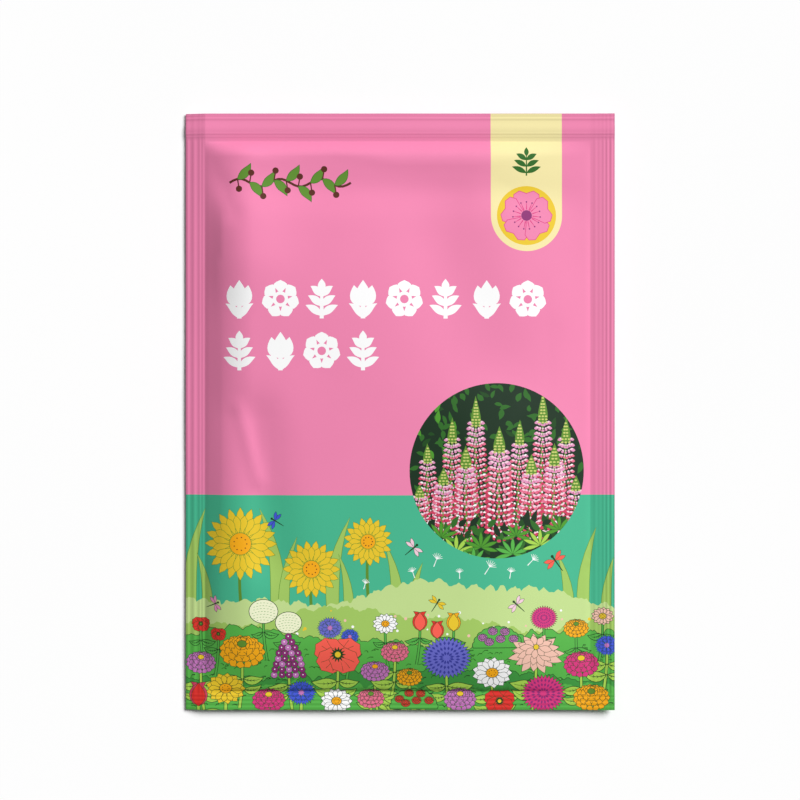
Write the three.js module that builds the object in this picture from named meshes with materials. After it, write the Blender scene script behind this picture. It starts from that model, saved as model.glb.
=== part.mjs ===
// A flat, heat-sealed film packet of lupin seeds, lying on its back on a table.
//
// Two webs of laminate film are crimped together along all four edges. The pocket between them stands
// up as a low pillow, and the seeds lie loose inside it. +X is the packet's right, +Y its top edge and
// +Z the way it faces. The origin is on the table, under the middle of the packet. All sizes are in mm.

import * as THREE from 'three';

// ---- driving dimensions ----

const PACKET_WIDTH = 100;
const PACKET_HEIGHT = 139;
const FILM = 0.15; // thickness of one laminate web

const SEAL = { left: 4.6, right: 5.7, top: 6.6, bottom: 4.4 }; // width of the crimped band at each edge
const SEAL_LEVEL = 1.7; // height of the seals' middle plane above the table, where they meet the pocket
const SEAL_TILT = { left: -1.1, right: 0.3, top: 0, bottom: -0.1 }; // from there out to the free edge
const WEB_GAP = 0.02; // between the two webs where they are sealed

// Crimp ribs run along each seal: distance in from the packet's edge, half width, height.
const RIBS = {
  left: [[0.5, 0.5, 0.09], [1.95, 0.75, 0.1], [3.3, 0.4, 0.05], [4.05, 0.4, 0.04]],
  right: [[0.75, 0.5, 0.1], [1.7, 0.45, 0.08], [2.55, 0.4, 0.05], [3.5, 0.5, 0.02], [4.5, 0.6, 0.04]],
  top: [[0.4, 0.4, 0.05], [1.2, 0.5, 0.08], [3.9, 2.6, 0.3], [4.7, 0.4, 0.05], [5.4, 0.4, 0.04]],
  bottom: [[0.6, 0.45, 0.07], [1.6, 0.5, 0.08], [2.6, 0.5, 0.06], [3.5, 0.5, 0.07]],
};

const CROSSED_RIBS = 0.3; // share of their height left on the sides' ribs in the corners
const CROSSING = 1.2; // how far into a corner they take to get there

const FRONT_BULGE = 5.25; // how far the middle of the pocket's front stands above the seals
const FRONT_DOME = { x: 1.3, y: 0.9 }; // how much lower the crown would be out at the middle of each edge

// How the front comes up from each seal: the share of its height that it gains in the crease next to the
// seal, the width of that crease, and the distance from the seal to the crown.
const SLOPE = {
  left: { share: 0.2, crease: 4.5, reach: 11.5 },
  right: { share: 0.03, crease: 1.5, reach: 30 },
  top: { share: 0.34, crease: 3.4, reach: 44 },
  bottom: { share: 0.12, crease: 1, reach: 13 },
};
const SLOPE_LINES = [0.5, 1.1, 2, 3.4, 5.4, 8, 11.5]; // edges of the faces on a slope, from the seal
const CROWN_STEP = 9; // longest face on the crown
const CLOSEST_LINES = 0.28; // grid lines nearer than this are merged
const BACK_FLATNESS = 3; // over 1, the back comes down to the table closer to the seals

// Soft folds in the front web: each runs along its path, and is a ridge where its height is positive and a
// valley where it is negative.
const FOLDS = [
  {
    path: [[-43, 61.2], [-31.5, 59.2], [-15.3, 60.8], [-1, 58.7], [21, 58.7], [43, 60.8]],
    spread: 2,
    height: 0.3,
  },
  { path: [[-40, 52.5], [43, 50.8]], spread: 4.6, height: -0.75 },
  { path: [[-44.5, 54], [-44.5, -30]], spread: 3, height: -0.35 },
  { path: [[-40.5, 58.5], [-36, 37]], spread: 9.5, height: 1.2 },
  { path: [[-37.2, 0.5], [-32.8, -16]], spread: 1.8, height: 0.3 },
  { path: [[-43.5, 57], [-38.5, 46]], spread: 2.2, height: -0.25 },
  { path: [[-34.2, -2], [-30, -33]], spread: 6.2, height: -1.15 },
  { path: [[10, 40], [20, 14]], spread: 12, height: -1.3 },
];

const SEED_COUNT = 24;
const SEED = { length: 4.6, width: 3.6, thickness: 2.5, shrink: 0.12 };
const SEED_SIDES = 10;
const SEED_RINGS = 6;
const SEED_CLEARANCE = 0.08; // seed to film, and at least this far from seed to seed
const SEED_FIELD = { x: 24, low: -46, high: 22 }; // where they lie on the back web's flat

const COLOURS = { print: 0xff8fbc, reverse: 0xf6a9c9, seed: 0x6a5238 };

// ---- the packet's edges, worked out from the sizes above ----

const EDGE_X = PACKET_WIDTH / 2;
const EDGE_Y = PACKET_HEIGHT / 2;
const BACK_BULGE = SEAL_LEVEL - WEB_GAP / 2 - FILM; // puts the back web's flat on the table

// How far a point is in from each of the packet's edges.
function inward(x, y) {
  return { left: EDGE_X + x, right: EDGE_X - x, top: EDGE_Y - y, bottom: EDGE_Y + y };
}

// ---- the film's shape ----

// Height of one seal's ribs at a distance in from the packet's edge.
function ribHeight(distance, ribs) {
  let height = 0;
  for (const [place, half, rise] of ribs) {
    const near = Math.min(1, Math.abs(distance - place) / half);
    height += rise * Math.cos(near * Math.PI / 2) ** 2;
  }
  return height;
}

// Ribs of all four seals. The top and bottom seals are pressed last, and flatten the ribs of the sides where
// they cross them.
function crimp(x, y) {
  const from = inward(x, y);
  const crossed = Math.min(from.top - SEAL.top, from.bottom - SEAL.bottom) / CROSSING;
  const left = THREE.MathUtils.lerp(CROSSED_RIBS, 1, THREE.MathUtils.clamp(crossed + 1, 0, 1));
  const sides = ribHeight(from.left, RIBS.left) + ribHeight(from.right, RIBS.right);
  return sides * left + ribHeight(from.top, RIBS.top) + ribHeight(from.bottom, RIBS.bottom);
}

// Droop or curl of the seals out to their free edges.
function tilt(x, y) {
  let height = 0;
  for (const [side, distance] of Object.entries(inward(x, y))) {
    height += SEAL_TILT[side] * Math.max(0, 1 - distance / SEAL[side]);
  }
  return height;
}

// 0 at a seal, then a crease and a slope that round over to 1 on the crown.
function slope(distance, { share, crease, reach }) {
  const creased = 1 - (1 - THREE.MathUtils.clamp(distance / crease, 0, 1)) ** 2;
  const rounded = Math.sin(THREE.MathUtils.clamp(distance / reach, 0, 1) * Math.PI / 2);
  return share * creased + (1 - share) * rounded;
}

function pillow(x, y) {
  let rise = 1;
  for (const [side, distance] of Object.entries(inward(x, y))) {
    rise *= slope(distance - SEAL[side], SLOPE[side]);
  }
  return rise;
}

// A fold's height falls off with the distance from its path.
function foldHeight(fold, x, y) {
  const point = new THREE.Vector3(x, y, 0);
  const nearest = new THREE.Vector3();
  let away = Infinity;
  for (let i = 1; i < fold.path.length; i += 1) {
    const [start, end] = [fold.path[i - 1], fold.path[i]].map((spot) => new THREE.Vector3(...spot, 0));
    new THREE.Line3(start, end).closestPointToPoint(point, true, nearest);
    away = Math.min(away, point.distanceTo(nearest));
  }
  return fold.height * Math.exp(-((away / fold.spread) ** 2));
}

// The folds fade out with the pillow, so that the seals stay straight.
function folds(x, y) {
  const sum = FOLDS.reduce((total, fold) => total + foldHeight(fold, x, y), 0);
  return sum * Math.min(1, 2 * pillow(x, y));
}

function frontUnderside(x, y) {
  const crown = FRONT_BULGE - FRONT_DOME.x * (x / EDGE_X) ** 2 - FRONT_DOME.y * (y / EDGE_Y) ** 2;
  return SEAL_LEVEL + WEB_GAP / 2 + crimp(x, y) + tilt(x, y) + crown * pillow(x, y) + folds(x, y);
}

function backTopside(x, y) {
  const down = 1 - (1 - pillow(x, y)) ** BACK_FLATNESS;
  return SEAL_LEVEL - WEB_GAP / 2 + crimp(x, y) + tilt(x, y) - BACK_BULGE * down;
}

// ---- the grid that both webs are faceted on ----

// Lines of one seal and the slope next to it, as distances in from the packet's edge.
function linesNear(side) {
  const seal = SEAL[side];
  const crests = RIBS[side].flatMap(([place, half]) => [place - half, place, place + half]);
  const wanted = [...crests.sort((a, b) => a - b), seal, ...SLOPE_LINES.map((line) => seal + line)];
  const lines = [0];
  for (const line of wanted) {
    if (line - lines.at(-1) > CLOSEST_LINES || line === seal) lines.push(line);
  }
  return lines;
}

function gridLines(low, high, lowSide, highSide) {
  const fromLow = linesNear(lowSide).map((line) => low + line);
  const fromHigh = linesNear(highSide).map((line) => high - line).reverse();
  const steps = Math.ceil((fromHigh[0] - fromLow.at(-1)) / CROWN_STEP);
  const crown = Array.from({ length: steps - 1 }, (_, i) =>
    THREE.MathUtils.lerp(fromLow.at(-1), fromHigh[0], (i + 1) / steps));
  return [...fromLow, ...crown, ...fromHigh];
}

const GRID_X = gridLines(-EDGE_X, EDGE_X, 'left', 'right');
const GRID_Y = gridLines(-EDGE_Y, EDGE_Y, 'bottom', 'top');

// ---- sub-parts ----

// One closed sheet of film: an underside and a topside over the grid, joined by a rim all round.
function webGeometry(underside) {
  const columns = GRID_X.length;
  const rows = GRID_Y.length;
  const layer = columns * rows;
  const vertices = [];
  for (const lift of [0, FILM]) {
    for (const y of GRID_Y) {
      for (const x of GRID_X) vertices.push(x, y, underside(x, y) + lift);
    }
  }
  const faces = [];
  const at = (column, row, level) => level * layer + row * columns + column;
  const quad = (a, b, c, d) => faces.push(a, b, c, a, c, d);
  for (let row = 0; row < rows - 1; row += 1) {
    for (let column = 0; column < columns - 1; column += 1) {
      // Both sides are split along the same diagonal, so the film keeps its thickness.
      const [a, b, c, d] = [[0, 0], [1, 0], [1, 1], [0, 1]].map(([i, j]) => [column + i, row + j]);
      quad(at(...a, 1), at(...b, 1), at(...c, 1), at(...d, 1));
      quad(at(...a, 0), at(...d, 0), at(...c, 0), at(...b, 0));
    }
  }
  const rimQuad = (from, to) => quad(at(...from, 0), at(...to, 0), at(...to, 1), at(...from, 1));
  for (let column = 0; column < columns - 1; column += 1) {
    rimQuad([column, 0], [column + 1, 0]);
    rimQuad([column + 1, rows - 1], [column, rows - 1]);
  }
  for (let row = 0; row < rows - 1; row += 1) {
    rimQuad([columns - 1, row], [columns - 1, row + 1]);
    rimQuad([0, row + 1], [0, row]);
  }
  const geometry = new THREE.BufferGeometry();
  geometry.setAttribute('position', new THREE.Float32BufferAttribute(vertices, 3));
  geometry.setIndex(faces);
  geometry.computeVertexNormals();
  return geometry;
}

// A seed is a flattened oval bean, a little narrower at its hilum end.
function seedGeometry() {
  const geometry = new THREE.SphereGeometry(1, SEED_SIDES, SEED_RINGS);
  const position = geometry.attributes.position;
  for (let i = 0; i < position.count; i += 1) {
    const taper = 1 - SEED.shrink * position.getX(i);
    position.setXYZ(
      i,
      position.getX(i) * SEED.length / 2,
      position.getY(i) * taper * SEED.width / 2,
      position.getZ(i) * SEED.thickness / 2,
    );
  }
  geometry.computeVertexNormals();
  return geometry;
}

// Repeatable draw of numbers from 0 to 1.
function makeDraw(seed) {
  let state = seed;
  return () => {
    state = (state * 1664525 + 1013904223) % 4294967296;
    return state / 4294967296;
  };
}

// Scattered places for the seeds, none nearer another than a seed's own length.
function seedPlaces() {
  const draw = makeDraw(11);
  const places = [];
  const apart = SEED.length + SEED_CLEARANCE;
  while (places.length < SEED_COUNT) {
    const x = THREE.MathUtils.lerp(-SEED_FIELD.x, SEED_FIELD.x, draw());
    const y = THREE.MathUtils.lerp(SEED_FIELD.low, SEED_FIELD.high, draw());
    const turn = 2 * Math.PI * draw();
    if (places.every((place) => Math.hypot(place.x - x, place.y - y) > apart)) places.push({ x, y, turn });
  }
  return places;
}

// ---- the packet ----

function filmMaterial(color) {
  return new THREE.MeshStandardMaterial({ color, roughness: 0.42, metalness: 0 });
}

const packet = new THREE.Group();

const frontWeb = new THREE.Mesh(webGeometry(frontUnderside), filmMaterial(COLOURS.print));
frontWeb.name = 'front_web';
packet.add(frontWeb);

const backWeb = new THREE.Mesh(
  webGeometry((x, y) => backTopside(x, y) - FILM),
  filmMaterial(COLOURS.reverse),
);
backWeb.name = 'back_web';
packet.add(backWeb);

const seedMaterial = new THREE.MeshStandardMaterial({ color: COLOURS.seed, roughness: 0.55, metalness: 0 });
const seedShape = seedGeometry();
seedPlaces().forEach((place, i) => {
  const seed = new THREE.Mesh(seedShape, seedMaterial);
  seed.name = `seed_${String(i + 1).padStart(2, '0')}`;
  seed.position.set(place.x, place.y, FILM + SEED_CLEARANCE + SEED.thickness / 2);
  seed.rotation.z = place.turn;
  packet.add(seed);
});

export default packet;
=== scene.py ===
# %% [markdown]
# # A printed seed packet, laid on a table
#
# The packet is a flat sachet of laminate film, crimped shut along its four edges, with loose seeds inside.
# The solid model gives the exact sizes, and this script gives the packet its looks: two fine sheets of film
# that carry the print, and the seeds in the pocket between them. We start with the solid model, which stays
# as it is, and keep the size of its box to compare with at the end. Lengths are in millimetres until a mesh
# is made.

# %% The solid model
import math
import random

import bmesh
import bpy
import numpy as np
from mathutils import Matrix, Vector, noise
from mathutils.bvhtree import BVHTree
from mathutils.geometry import delaunay_2d_cdt
from mathutils.kdtree import KDTree


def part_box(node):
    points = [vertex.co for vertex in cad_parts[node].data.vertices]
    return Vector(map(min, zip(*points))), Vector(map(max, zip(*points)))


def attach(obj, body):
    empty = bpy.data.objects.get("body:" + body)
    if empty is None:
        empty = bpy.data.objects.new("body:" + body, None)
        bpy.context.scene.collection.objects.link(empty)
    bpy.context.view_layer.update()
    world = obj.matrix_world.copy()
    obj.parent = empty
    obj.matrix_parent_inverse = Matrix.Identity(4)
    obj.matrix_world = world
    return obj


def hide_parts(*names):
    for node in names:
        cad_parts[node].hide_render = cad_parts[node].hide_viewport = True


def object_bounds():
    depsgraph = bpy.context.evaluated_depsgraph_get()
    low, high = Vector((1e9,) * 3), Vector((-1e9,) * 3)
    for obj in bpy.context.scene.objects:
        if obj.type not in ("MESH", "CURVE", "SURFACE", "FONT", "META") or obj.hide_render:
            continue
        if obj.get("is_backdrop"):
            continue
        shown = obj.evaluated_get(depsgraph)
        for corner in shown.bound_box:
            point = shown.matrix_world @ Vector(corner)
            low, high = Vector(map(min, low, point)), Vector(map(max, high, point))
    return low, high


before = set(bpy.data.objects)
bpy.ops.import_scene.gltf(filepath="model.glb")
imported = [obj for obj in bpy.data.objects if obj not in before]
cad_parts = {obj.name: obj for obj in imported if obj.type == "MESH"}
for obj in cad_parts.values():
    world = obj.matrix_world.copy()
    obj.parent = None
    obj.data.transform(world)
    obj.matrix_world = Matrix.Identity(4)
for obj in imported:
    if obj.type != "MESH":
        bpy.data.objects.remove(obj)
cad_box = [list(corner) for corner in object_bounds()]
MM = 0.001
seed_names = sorted(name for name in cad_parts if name.startswith("seed_"))
print("solids:", len(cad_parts), "of which seeds:", len(seed_names))

# %% [markdown]
# ## Camera
#
# The photograph looks square-on at the packet. Ours lies on its back, so the camera looks straight down. A
# long lens keeps the edges parallel, and the distance makes the packet fill the same share of the picture.

# %% Camera
LENS = 120.0
SENSOR = 36.0
VIEW_WIDTH = 186.48  # what the picture spans at the level of the seals
VIEW_CENTRE = 2.74  # the packet sits a little below the middle of the picture
SEAL_LEVEL = 1.7  # how far the seals are above the table


def placed(name, data):
    """A new object in the scene."""
    made = bpy.data.objects.new(name, data)
    bpy.context.scene.collection.objects.link(made)
    return made


camera = placed("camera", bpy.data.cameras.new("camera"))
camera.data.lens = LENS
camera.data.sensor_width = SENSOR
camera_height = SEAL_LEVEL + VIEW_WIDTH / SENSOR * LENS
camera.location = (0, VIEW_CENTRE * MM, camera_height * MM)
bpy.context.scene.camera = camera
print("the camera stands", round(camera_height), "mm above the table")

# %% [markdown]
# ## Light
#
# Matte film shows its shape by light that comes from one side. A wide, soft key light up to the right
# lights the right and top slopes of the pillow and leaves the left and bottom slopes darker, as in the
# photograph. It is a sun lamp, so that it lights the whole table evenly, and a pale sky fills its shadows.

# %% Light
KEY_FROM = (0.79, 0.66, 1.03)
KEY_STRENGTH = 3.7
KEY_SOFTNESS = math.radians(34)  # as wide as a soft box looks from the table
SKY_STRENGTH = 0.165

key = bpy.data.lights.new("key_light", "SUN")
key.energy = KEY_STRENGTH
key.angle = KEY_SOFTNESS
holder = placed("key_light", key)
holder.location = KEY_FROM
holder.rotation_euler = (-Vector(KEY_FROM)).to_track_quat("-Z", "Y").to_euler()

sky = bpy.data.worlds.new("pale_sky")
sky.use_nodes = True
sky.node_tree.nodes["Background"].inputs["Color"].default_value = (1.0, 1.0, 1.0, 1.0)
sky.node_tree.nodes["Background"].inputs["Strength"].default_value = SKY_STRENGTH
bpy.context.scene.world = sky
bpy.context.scene.view_settings.view_transform = "Standard"
key_rise = math.degrees(math.asin(KEY_FROM[2] / Vector(KEY_FROM).length))
print("the key light stands", round(key_rise), "degrees up")

# %% [markdown]
# ## The shape of the film
#
# Both sheets are height fields: one height for each place on the packet. The numbers are the solid model's
# own, so the sheets lie on their solids. A seal is a band of small ribs, left by the hot jaws. Inside the
# seals the film bulges like a flat pillow, and it leaves the seal in a crisp crease.

# %% Sizes of the packet
WIDTH = 100.0
HEIGHT = 139.0
EDGE_X = WIDTH / 2
EDGE_Y = HEIGHT / 2
FILM = 0.15
WEB_GAP = 0.02
SEALS = {"left": 4.6, "right": 5.7, "top": 6.6, "bottom": 4.4}
LEFT, RIGHT = SEALS["left"] - EDGE_X, EDGE_X - SEALS["right"]
BOTTOM, TOP = SEALS["bottom"] - EDGE_Y, EDGE_Y - SEALS["top"]
print("pocket:", round(RIGHT - LEFT, 1), "by", round(TOP - BOTTOM, 1), "mm")


def inward(x, y):
    """How far a point is in from each of the packet's edges."""
    return {"left": EDGE_X + x, "right": EDGE_X - x, "top": EDGE_Y - y, "bottom": EDGE_Y + y}


# %% Ribs of the seals
# Each rib's distance in from the packet's edge, its half width and its height
RIBS = {
    "left": [(0.5, 0.5, 0.09), (1.95, 0.75, 0.1), (3.3, 0.4, 0.05), (4.05, 0.4, 0.04)],
    "right": [(0.75, 0.5, 0.1), (1.7, 0.45, 0.08), (2.55, 0.4, 0.05), (3.5, 0.5, 0.02), (4.5, 0.6, 0.04)],
    "top": [(0.4, 0.4, 0.05), (1.2, 0.5, 0.08), (3.9, 2.6, 0.3), (4.7, 0.4, 0.05), (5.4, 0.4, 0.04)],
    "bottom": [(0.6, 0.45, 0.07), (1.6, 0.5, 0.08), (2.6, 0.5, 0.06), (3.5, 0.5, 0.07)],
}
CROSSED_RIBS = 0.3  # share of their height left on the sides' ribs in the corners
CROSSING = 1.2  # and how far into a corner they take to get there


def ribs(distance, side):
    total = 0.0
    for place, half, height in RIBS[side]:
        near = np.clip(np.abs(distance - place) / half, 0, 1)
        total = total + height * np.cos(near * math.pi / 2) ** 2
    return total


def crimp(x, y):
    """The top and bottom seals are pressed last, and flatten the ribs of the sides where they cross them."""
    far = inward(x, y)
    crossed = np.minimum(far["top"] - SEALS["top"], far["bottom"] - SEALS["bottom"]) / CROSSING
    kept = CROSSED_RIBS + (1 - CROSSED_RIBS) * np.clip(crossed + 1, 0, 1)
    sides = ribs(far["left"], "left") + ribs(far["right"], "right")
    return sides * kept + ribs(far["top"], "top") + ribs(far["bottom"], "bottom")


print("the highest rib stands", max(height for side in RIBS.values() for *_, height in side), "mm high")

# %% The pillow
# Each side's share of the height that is gained in the crease next to the seal, how wide that crease is, and
# how far in the film reaches the crown
SIDES = {
    "left": (0.2, 4.5, 11.5), "right": (0.03, 1.5, 30), "top": (0.34, 3.4, 44), "bottom": (0.12, 1.0, 13),
}
BULGE = 5.25
BACK_FLATNESS = 3  # over 1, the back comes down to the table closer to the seals
DOME = (1.3, 0.9)  # how much lower the crown would be out at the side and the top edges


def slope(distance, side):
    share, crease, reach = SIDES[side]
    rise = 1 - (1 - np.clip(distance / crease, 0, 1)) ** 2
    return share * rise + (1 - share) * np.sin(np.clip(distance / reach, 0, 1) * math.pi / 2)


def pillow(x, y):
    """0 on the seals, 1 on the crown of the pocket."""
    total = 1.0
    for side, distance in inward(x, y).items():
        total = total * slope(distance - SEALS[side], side)
    return total


samples = np.array([LEFT, -43, -40, -35, 0, 30, 40, RIGHT])
print("pillow at x", samples, np.round(pillow(samples, 0 * samples), 2))

# %% [markdown]
# The film isn't a perfect pillow. It has soft folds where it comes down to the seals, faint dents over the
# seeds, and the free edge of the seals waves and droops a little. All of these fade out where the film is
# held. Random draws start from a fixed number, so every run gives the same packet.

# %% Folds
# Path, spread and height of each fold: a ridge where the height is positive, a valley where it is negative
FOLDS = [
    (((-43, 61.2), (-31.5, 59.2), (-15.3, 60.8), (-1, 58.7), (21, 58.7), (43, 60.8)), 2.0, 0.3),
    (((-40, 52.5), (43, 50.8)), 4.6, -0.75),
    (((-44.5, 54), (-44.5, -30)), 3.0, -0.35),
    (((-40.5, 58.5), (-36, 37)), 9.5, 1.2),
    (((-37.2, 0.5), (-32.8, -16)), 1.8, 0.3),
    (((-43.5, 57), (-38.5, 46)), 2.2, -0.25),
    (((-34.2, -2), (-30, -33)), 6.2, -1.15),
    (((10, 40), (20, 14)), 12.0, -1.3),
]


def fold(x, y, path, spread, height):
    """Its height falls off with the distance from its path."""
    away = math.inf
    for start, end in zip(path, path[1:]):
        run = (end[0] - start[0], end[1] - start[1])
        along = ((x - start[0]) * run[0] + (y - start[1]) * run[1]) / (run[0] ** 2 + run[1] ** 2)
        along = np.clip(along, 0, 1)
        away = np.minimum(away, np.hypot(x - start[0] - along * run[0], y - start[1] - along * run[1]))
    return height * np.exp(-((away / spread) ** 2))


print("folds and valleys:", len(FOLDS))

# %% Dents
DENT_COUNT = 46
DENT_HEIGHT = 0.05
DENT_FIELD = (-38, 38, -58, 56)  # left, right, bottom and top
DENT_SPREAD = (3.5, 9)


def drawn_dents():
    """Place, spread and height of each dent."""
    draw = random.Random(4)
    for _ in range(DENT_COUNT):
        place = draw.uniform(*DENT_FIELD[:2]), draw.uniform(*DENT_FIELD[2:])
        yield place, draw.uniform(*DENT_SPREAD), draw.choice((-1, 1)) * DENT_HEIGHT


DENTS = list(drawn_dents())


def unevenness(x, y):
    held = np.minimum(1, 2 * pillow(x, y))
    total = sum(fold(x, y, *each) for each in FOLDS)
    total = total + sum(h * np.exp(-((x - cx) ** 2 + (y - cy) ** 2) / r**2) for (cx, cy), r, h in DENTS)
    return total * held


print("dents:", len(DENTS), "of which hollows:", sum(height < 0 for *_, height in DENTS))

# %% The free edge
EDGE_WAVE = 0.05
EDGE_WAVES = ((0.09, 0.13), (0.21, -0.07))  # how fast each wave turns along x and y, in radians per mm
# How far each seal rises or falls from the pocket to the edge
SEAL_TILTS = {"left": -1.1, "right": 0.3, "top": 0.0, "bottom": -0.1}


def free_edge(x, y):
    """The free edges of the seals droop or curl up, and wave gently."""
    wave = EDGE_WAVE * sum(np.sin(u * x + v * y) for u, v in EDGE_WAVES)
    total = 0.0
    for side, distance in inward(x, y).items():
        total = total + np.clip(1 - distance / SEALS[side], 0, 1) * (SEAL_TILTS[side] + wave)
    return total


print("the left edge is moved by", round(float(free_edge(-EDGE_X, 0.0)), 2), "mm")


# %% Height of each web
def front_top(x, y):
    crown = BULGE - DOME[0] * (x / EDGE_X) ** 2 - DOME[1] * (y / EDGE_Y) ** 2
    level = SEAL_LEVEL + WEB_GAP / 2 + FILM
    return level + crimp(x, y) + crown * pillow(x, y) + unevenness(x, y) + free_edge(x, y)


def back_bottom(x, y):
    """The back comes down to the table close to the seals, and lies flat on it."""
    level = SEAL_LEVEL - WEB_GAP / 2 - FILM
    down = 1 - (1 - pillow(x, y)) ** BACK_FLATNESS
    return level + crimp(x, y) - level * down + free_edge(x, y)


print("crown of the front:", round(float(front_top(0.0, 0.0)), 2), "mm above the table")

# %% [markdown]
# ## Drawing the print
#
# A printer lays flat inks over each other. We do the same: the artwork is a list of outlines, each with its
# ink, and where they overlap the last one shows. The film is then cut along these outlines, so the print
# has edges as sharp as a real one without any picture. First come the inks and the pen: closed outlines for
# discs, blades, stars and strokes.

# %% Inks
INKS = {
    "pink": "f087b1", "cream": "f5e8aa", "yellow": "ecc92e", "teal": "47b890", "white": "ffffff",
    "pale_green": "c3dd90", "mid_green": "a3c963", "green": "57b34a", "deep_green": "3f9640",
    "lime": "a9d552", "dark": "1f4420", "forest": "2f6b25", "night": "14301b",
    "brown": "5a2a1c", "olive": "5f8f2f", "purple": "6a6ccb", "violet": "c678bd", "magenta": "d8397f",
    "plum": "8d2f74", "red": "e0322c", "coral": "fb6152", "orange": "f9ae17", "blue": "4459d6",
    "blush": "f3c3b0", "rose": "e6708f", "ruby": "cf3d60", "shell": "f4cfdd", "straw": "ccd275",
    "ivory": "f3f6d2", "orchid": "e394bd", "leaf_green": "4f9a2c", "shade_green": "1d4a1c",
    "indigo": "3a3f9c",
}
INK_NAMES = list(INKS)


def linear(code):
    """A linear colour from a hex code."""
    parts = [int(code[i : i + 2], 16) / 255 for i in (0, 2, 4)]
    return [p / 12.92 if p <= 0.04045 else ((p + 0.055) / 1.055) ** 2.4 for p in parts]


INK_COLOURS = np.array([linear(code) + [1.0] for code in INKS.values()], np.float32)
print("inks:", len(INK_NAMES))


# %% The pen
def around(at, radius, angle, squash=1.0):
    """The point at an angle on a circle, which squash flattens."""
    return (at[0] + radius * math.cos(angle), at[1] + squash * radius * math.sin(angle))


def turns(count, start=0.0):
    """Angles spaced evenly round a circle."""
    return [start + 2 * math.pi * k / count for k in range(count)]


def oval(at, rx, ry=None, steps=16):
    ry = rx if ry is None else ry
    return [(at[0] + rx * math.cos(a), at[1] + ry * math.sin(a)) for a in turns(steps)]


print("an oval has", len(oval((0, 0), 1)), "points")

# %% Ribbons and blades
TINY = 1e-9  # stands in for a length of zero, which nothing can be divided by


def arc(start, end, bend, steps=6):
    """A line from start to end that arches to its left by bend."""
    dx, dy = end[0] - start[0], end[1] - start[1]
    length = math.hypot(dx, dy) or TINY
    path = []
    for i in range(steps + 1):
        t = i / steps
        arch = 4 * bend * t * (1 - t) / length
        path.append((start[0] + dx * t - dy * arch, start[1] + dy * t + dx * arch))
    return path


def ribbon(path, widths):
    """A closed outline around a path, with a width at each of its points."""
    left, right = [], []
    for i, (x, y) in enumerate(path):
        (ax, ay), (bx, by) = path[max(i - 1, 0)], path[min(i + 1, len(path) - 1)]
        length = 2 * math.hypot(bx - ax, by - ay) or TINY
        nx, ny = (ay - by) * widths[i] / length, (bx - ax) * widths[i] / length
        left.append((x + nx, y + ny))
        right.append((x - nx, y - ny))
    return right + left[::-1]


def blade(base, tip, width, bend=0.0, blunt=1.0, steps=6):
    """A leaf or petal. Blunt over 1 puts its widest part nearer the tip."""
    path = arc(base, tip, bend, steps)
    outline = ribbon(path, [width * math.sin(math.pi * (i / steps) ** blunt) for i in range(steps + 1)])
    return outline[: steps + 1] + outline[steps + 2 : -1]


def stroke(path, start_width, end_width=None):
    end_width = start_width if end_width is None else end_width
    steps = len(path) - 1
    return ribbon(path, [start_width + (end_width - start_width) * i / steps for i in range(steps + 1)])


def petals(at, near, far, count, width, start=0.0, squash=1.0, blunt=1.0, steps=6):
    """Blades that stand round a middle."""
    for angle in turns(count, start):
        yield blade(around(at, near, angle, squash), around(at, far, angle, squash), width, 0, blunt, steps)


print("a leaf has", len(blade((0, 0), (5, 0), 2)), "points")

# %% Stars, and the line around a shape
LONGEST_TIP = 2.2  # a drawn line reaches at most this many of its widths past a sharp tip


def burst(at, outer, inner, points, squash=1.0):
    """A star with many points."""
    return [around(at, inner if i % 2 else outer, a, squash) for i, a in enumerate(turns(2 * points))]


def turns_left(outline):
    """Whether an outline runs counter-clockwise."""
    return sum(a[0] * b[1] - b[0] * a[1] for a, b in zip(outline, outline[1:] + outline[:1])) > 0


def grown(outline, by):
    """The outline moved outwards by a distance, for a drawn line around a shape. Sharp tips are held back."""
    side = 1 if turns_left(outline) else -1
    out = []
    for i, (x, y) in enumerate(outline):
        (px, py), (qx, qy) = outline[i - 1], outline[(i + 1) % len(outline)]
        into, away = math.hypot(x - px, y - py) or TINY, math.hypot(qx - x, qy - y) or TINY
        nx = side * ((y - py) / into + (qy - y) / away)
        ny = -side * ((x - px) / into + (qx - x) / away)
        bend = max(math.hypot(nx, ny), 1e-6)
        reach = by * min(2 / bend, LONGEST_TIP) / bend
        out.append((x + nx * reach, y + ny * reach))
    return out


print("a star with five points has", len(burst((0, 0), 2, 1, 5)), "corners")


# %% The plate that holds the artwork
class Plate:
    """Outlines in the order that they are printed."""

    def __init__(self):
        self.shapes = []
        self.window = None  # the shape that the next ones are trimmed to

    def ink(self, name, outline):
        self.shapes.append((INK_NAMES.index(name), outline, self.window))
        return len(self.shapes) - 1

    def lined(self, name, outline, line="dark", width=0.1):
        """A shape with a line drawn around it."""
        self.ink(line, grown(outline, width))
        self.ink(name, outline)


def rectangle(x0, y0, x1, y1):
    return [(x0, y0), (x1, y0), (x1, y1), (x0, y1)]


def shapes_in(part, *values):
    """How many shapes a part of the artwork has, counted on an empty plate."""
    trial = Plate()
    part(trial, *values)
    return len(trial.shapes)


print("a shape with a line around it takes", shapes_in(Plate.lined, "pink", oval((0, 0), 1)), "outlines")

# %% [markdown]
# ## Flowers for the meadow
#
# Flower seed packets often have a meadow along their lower edge: many kinds of flower in flat, bright inks
# with a thin dark outline. Ours are drawn by small functions, one for each kind, so that a head can be any
# size and colour.


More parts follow.
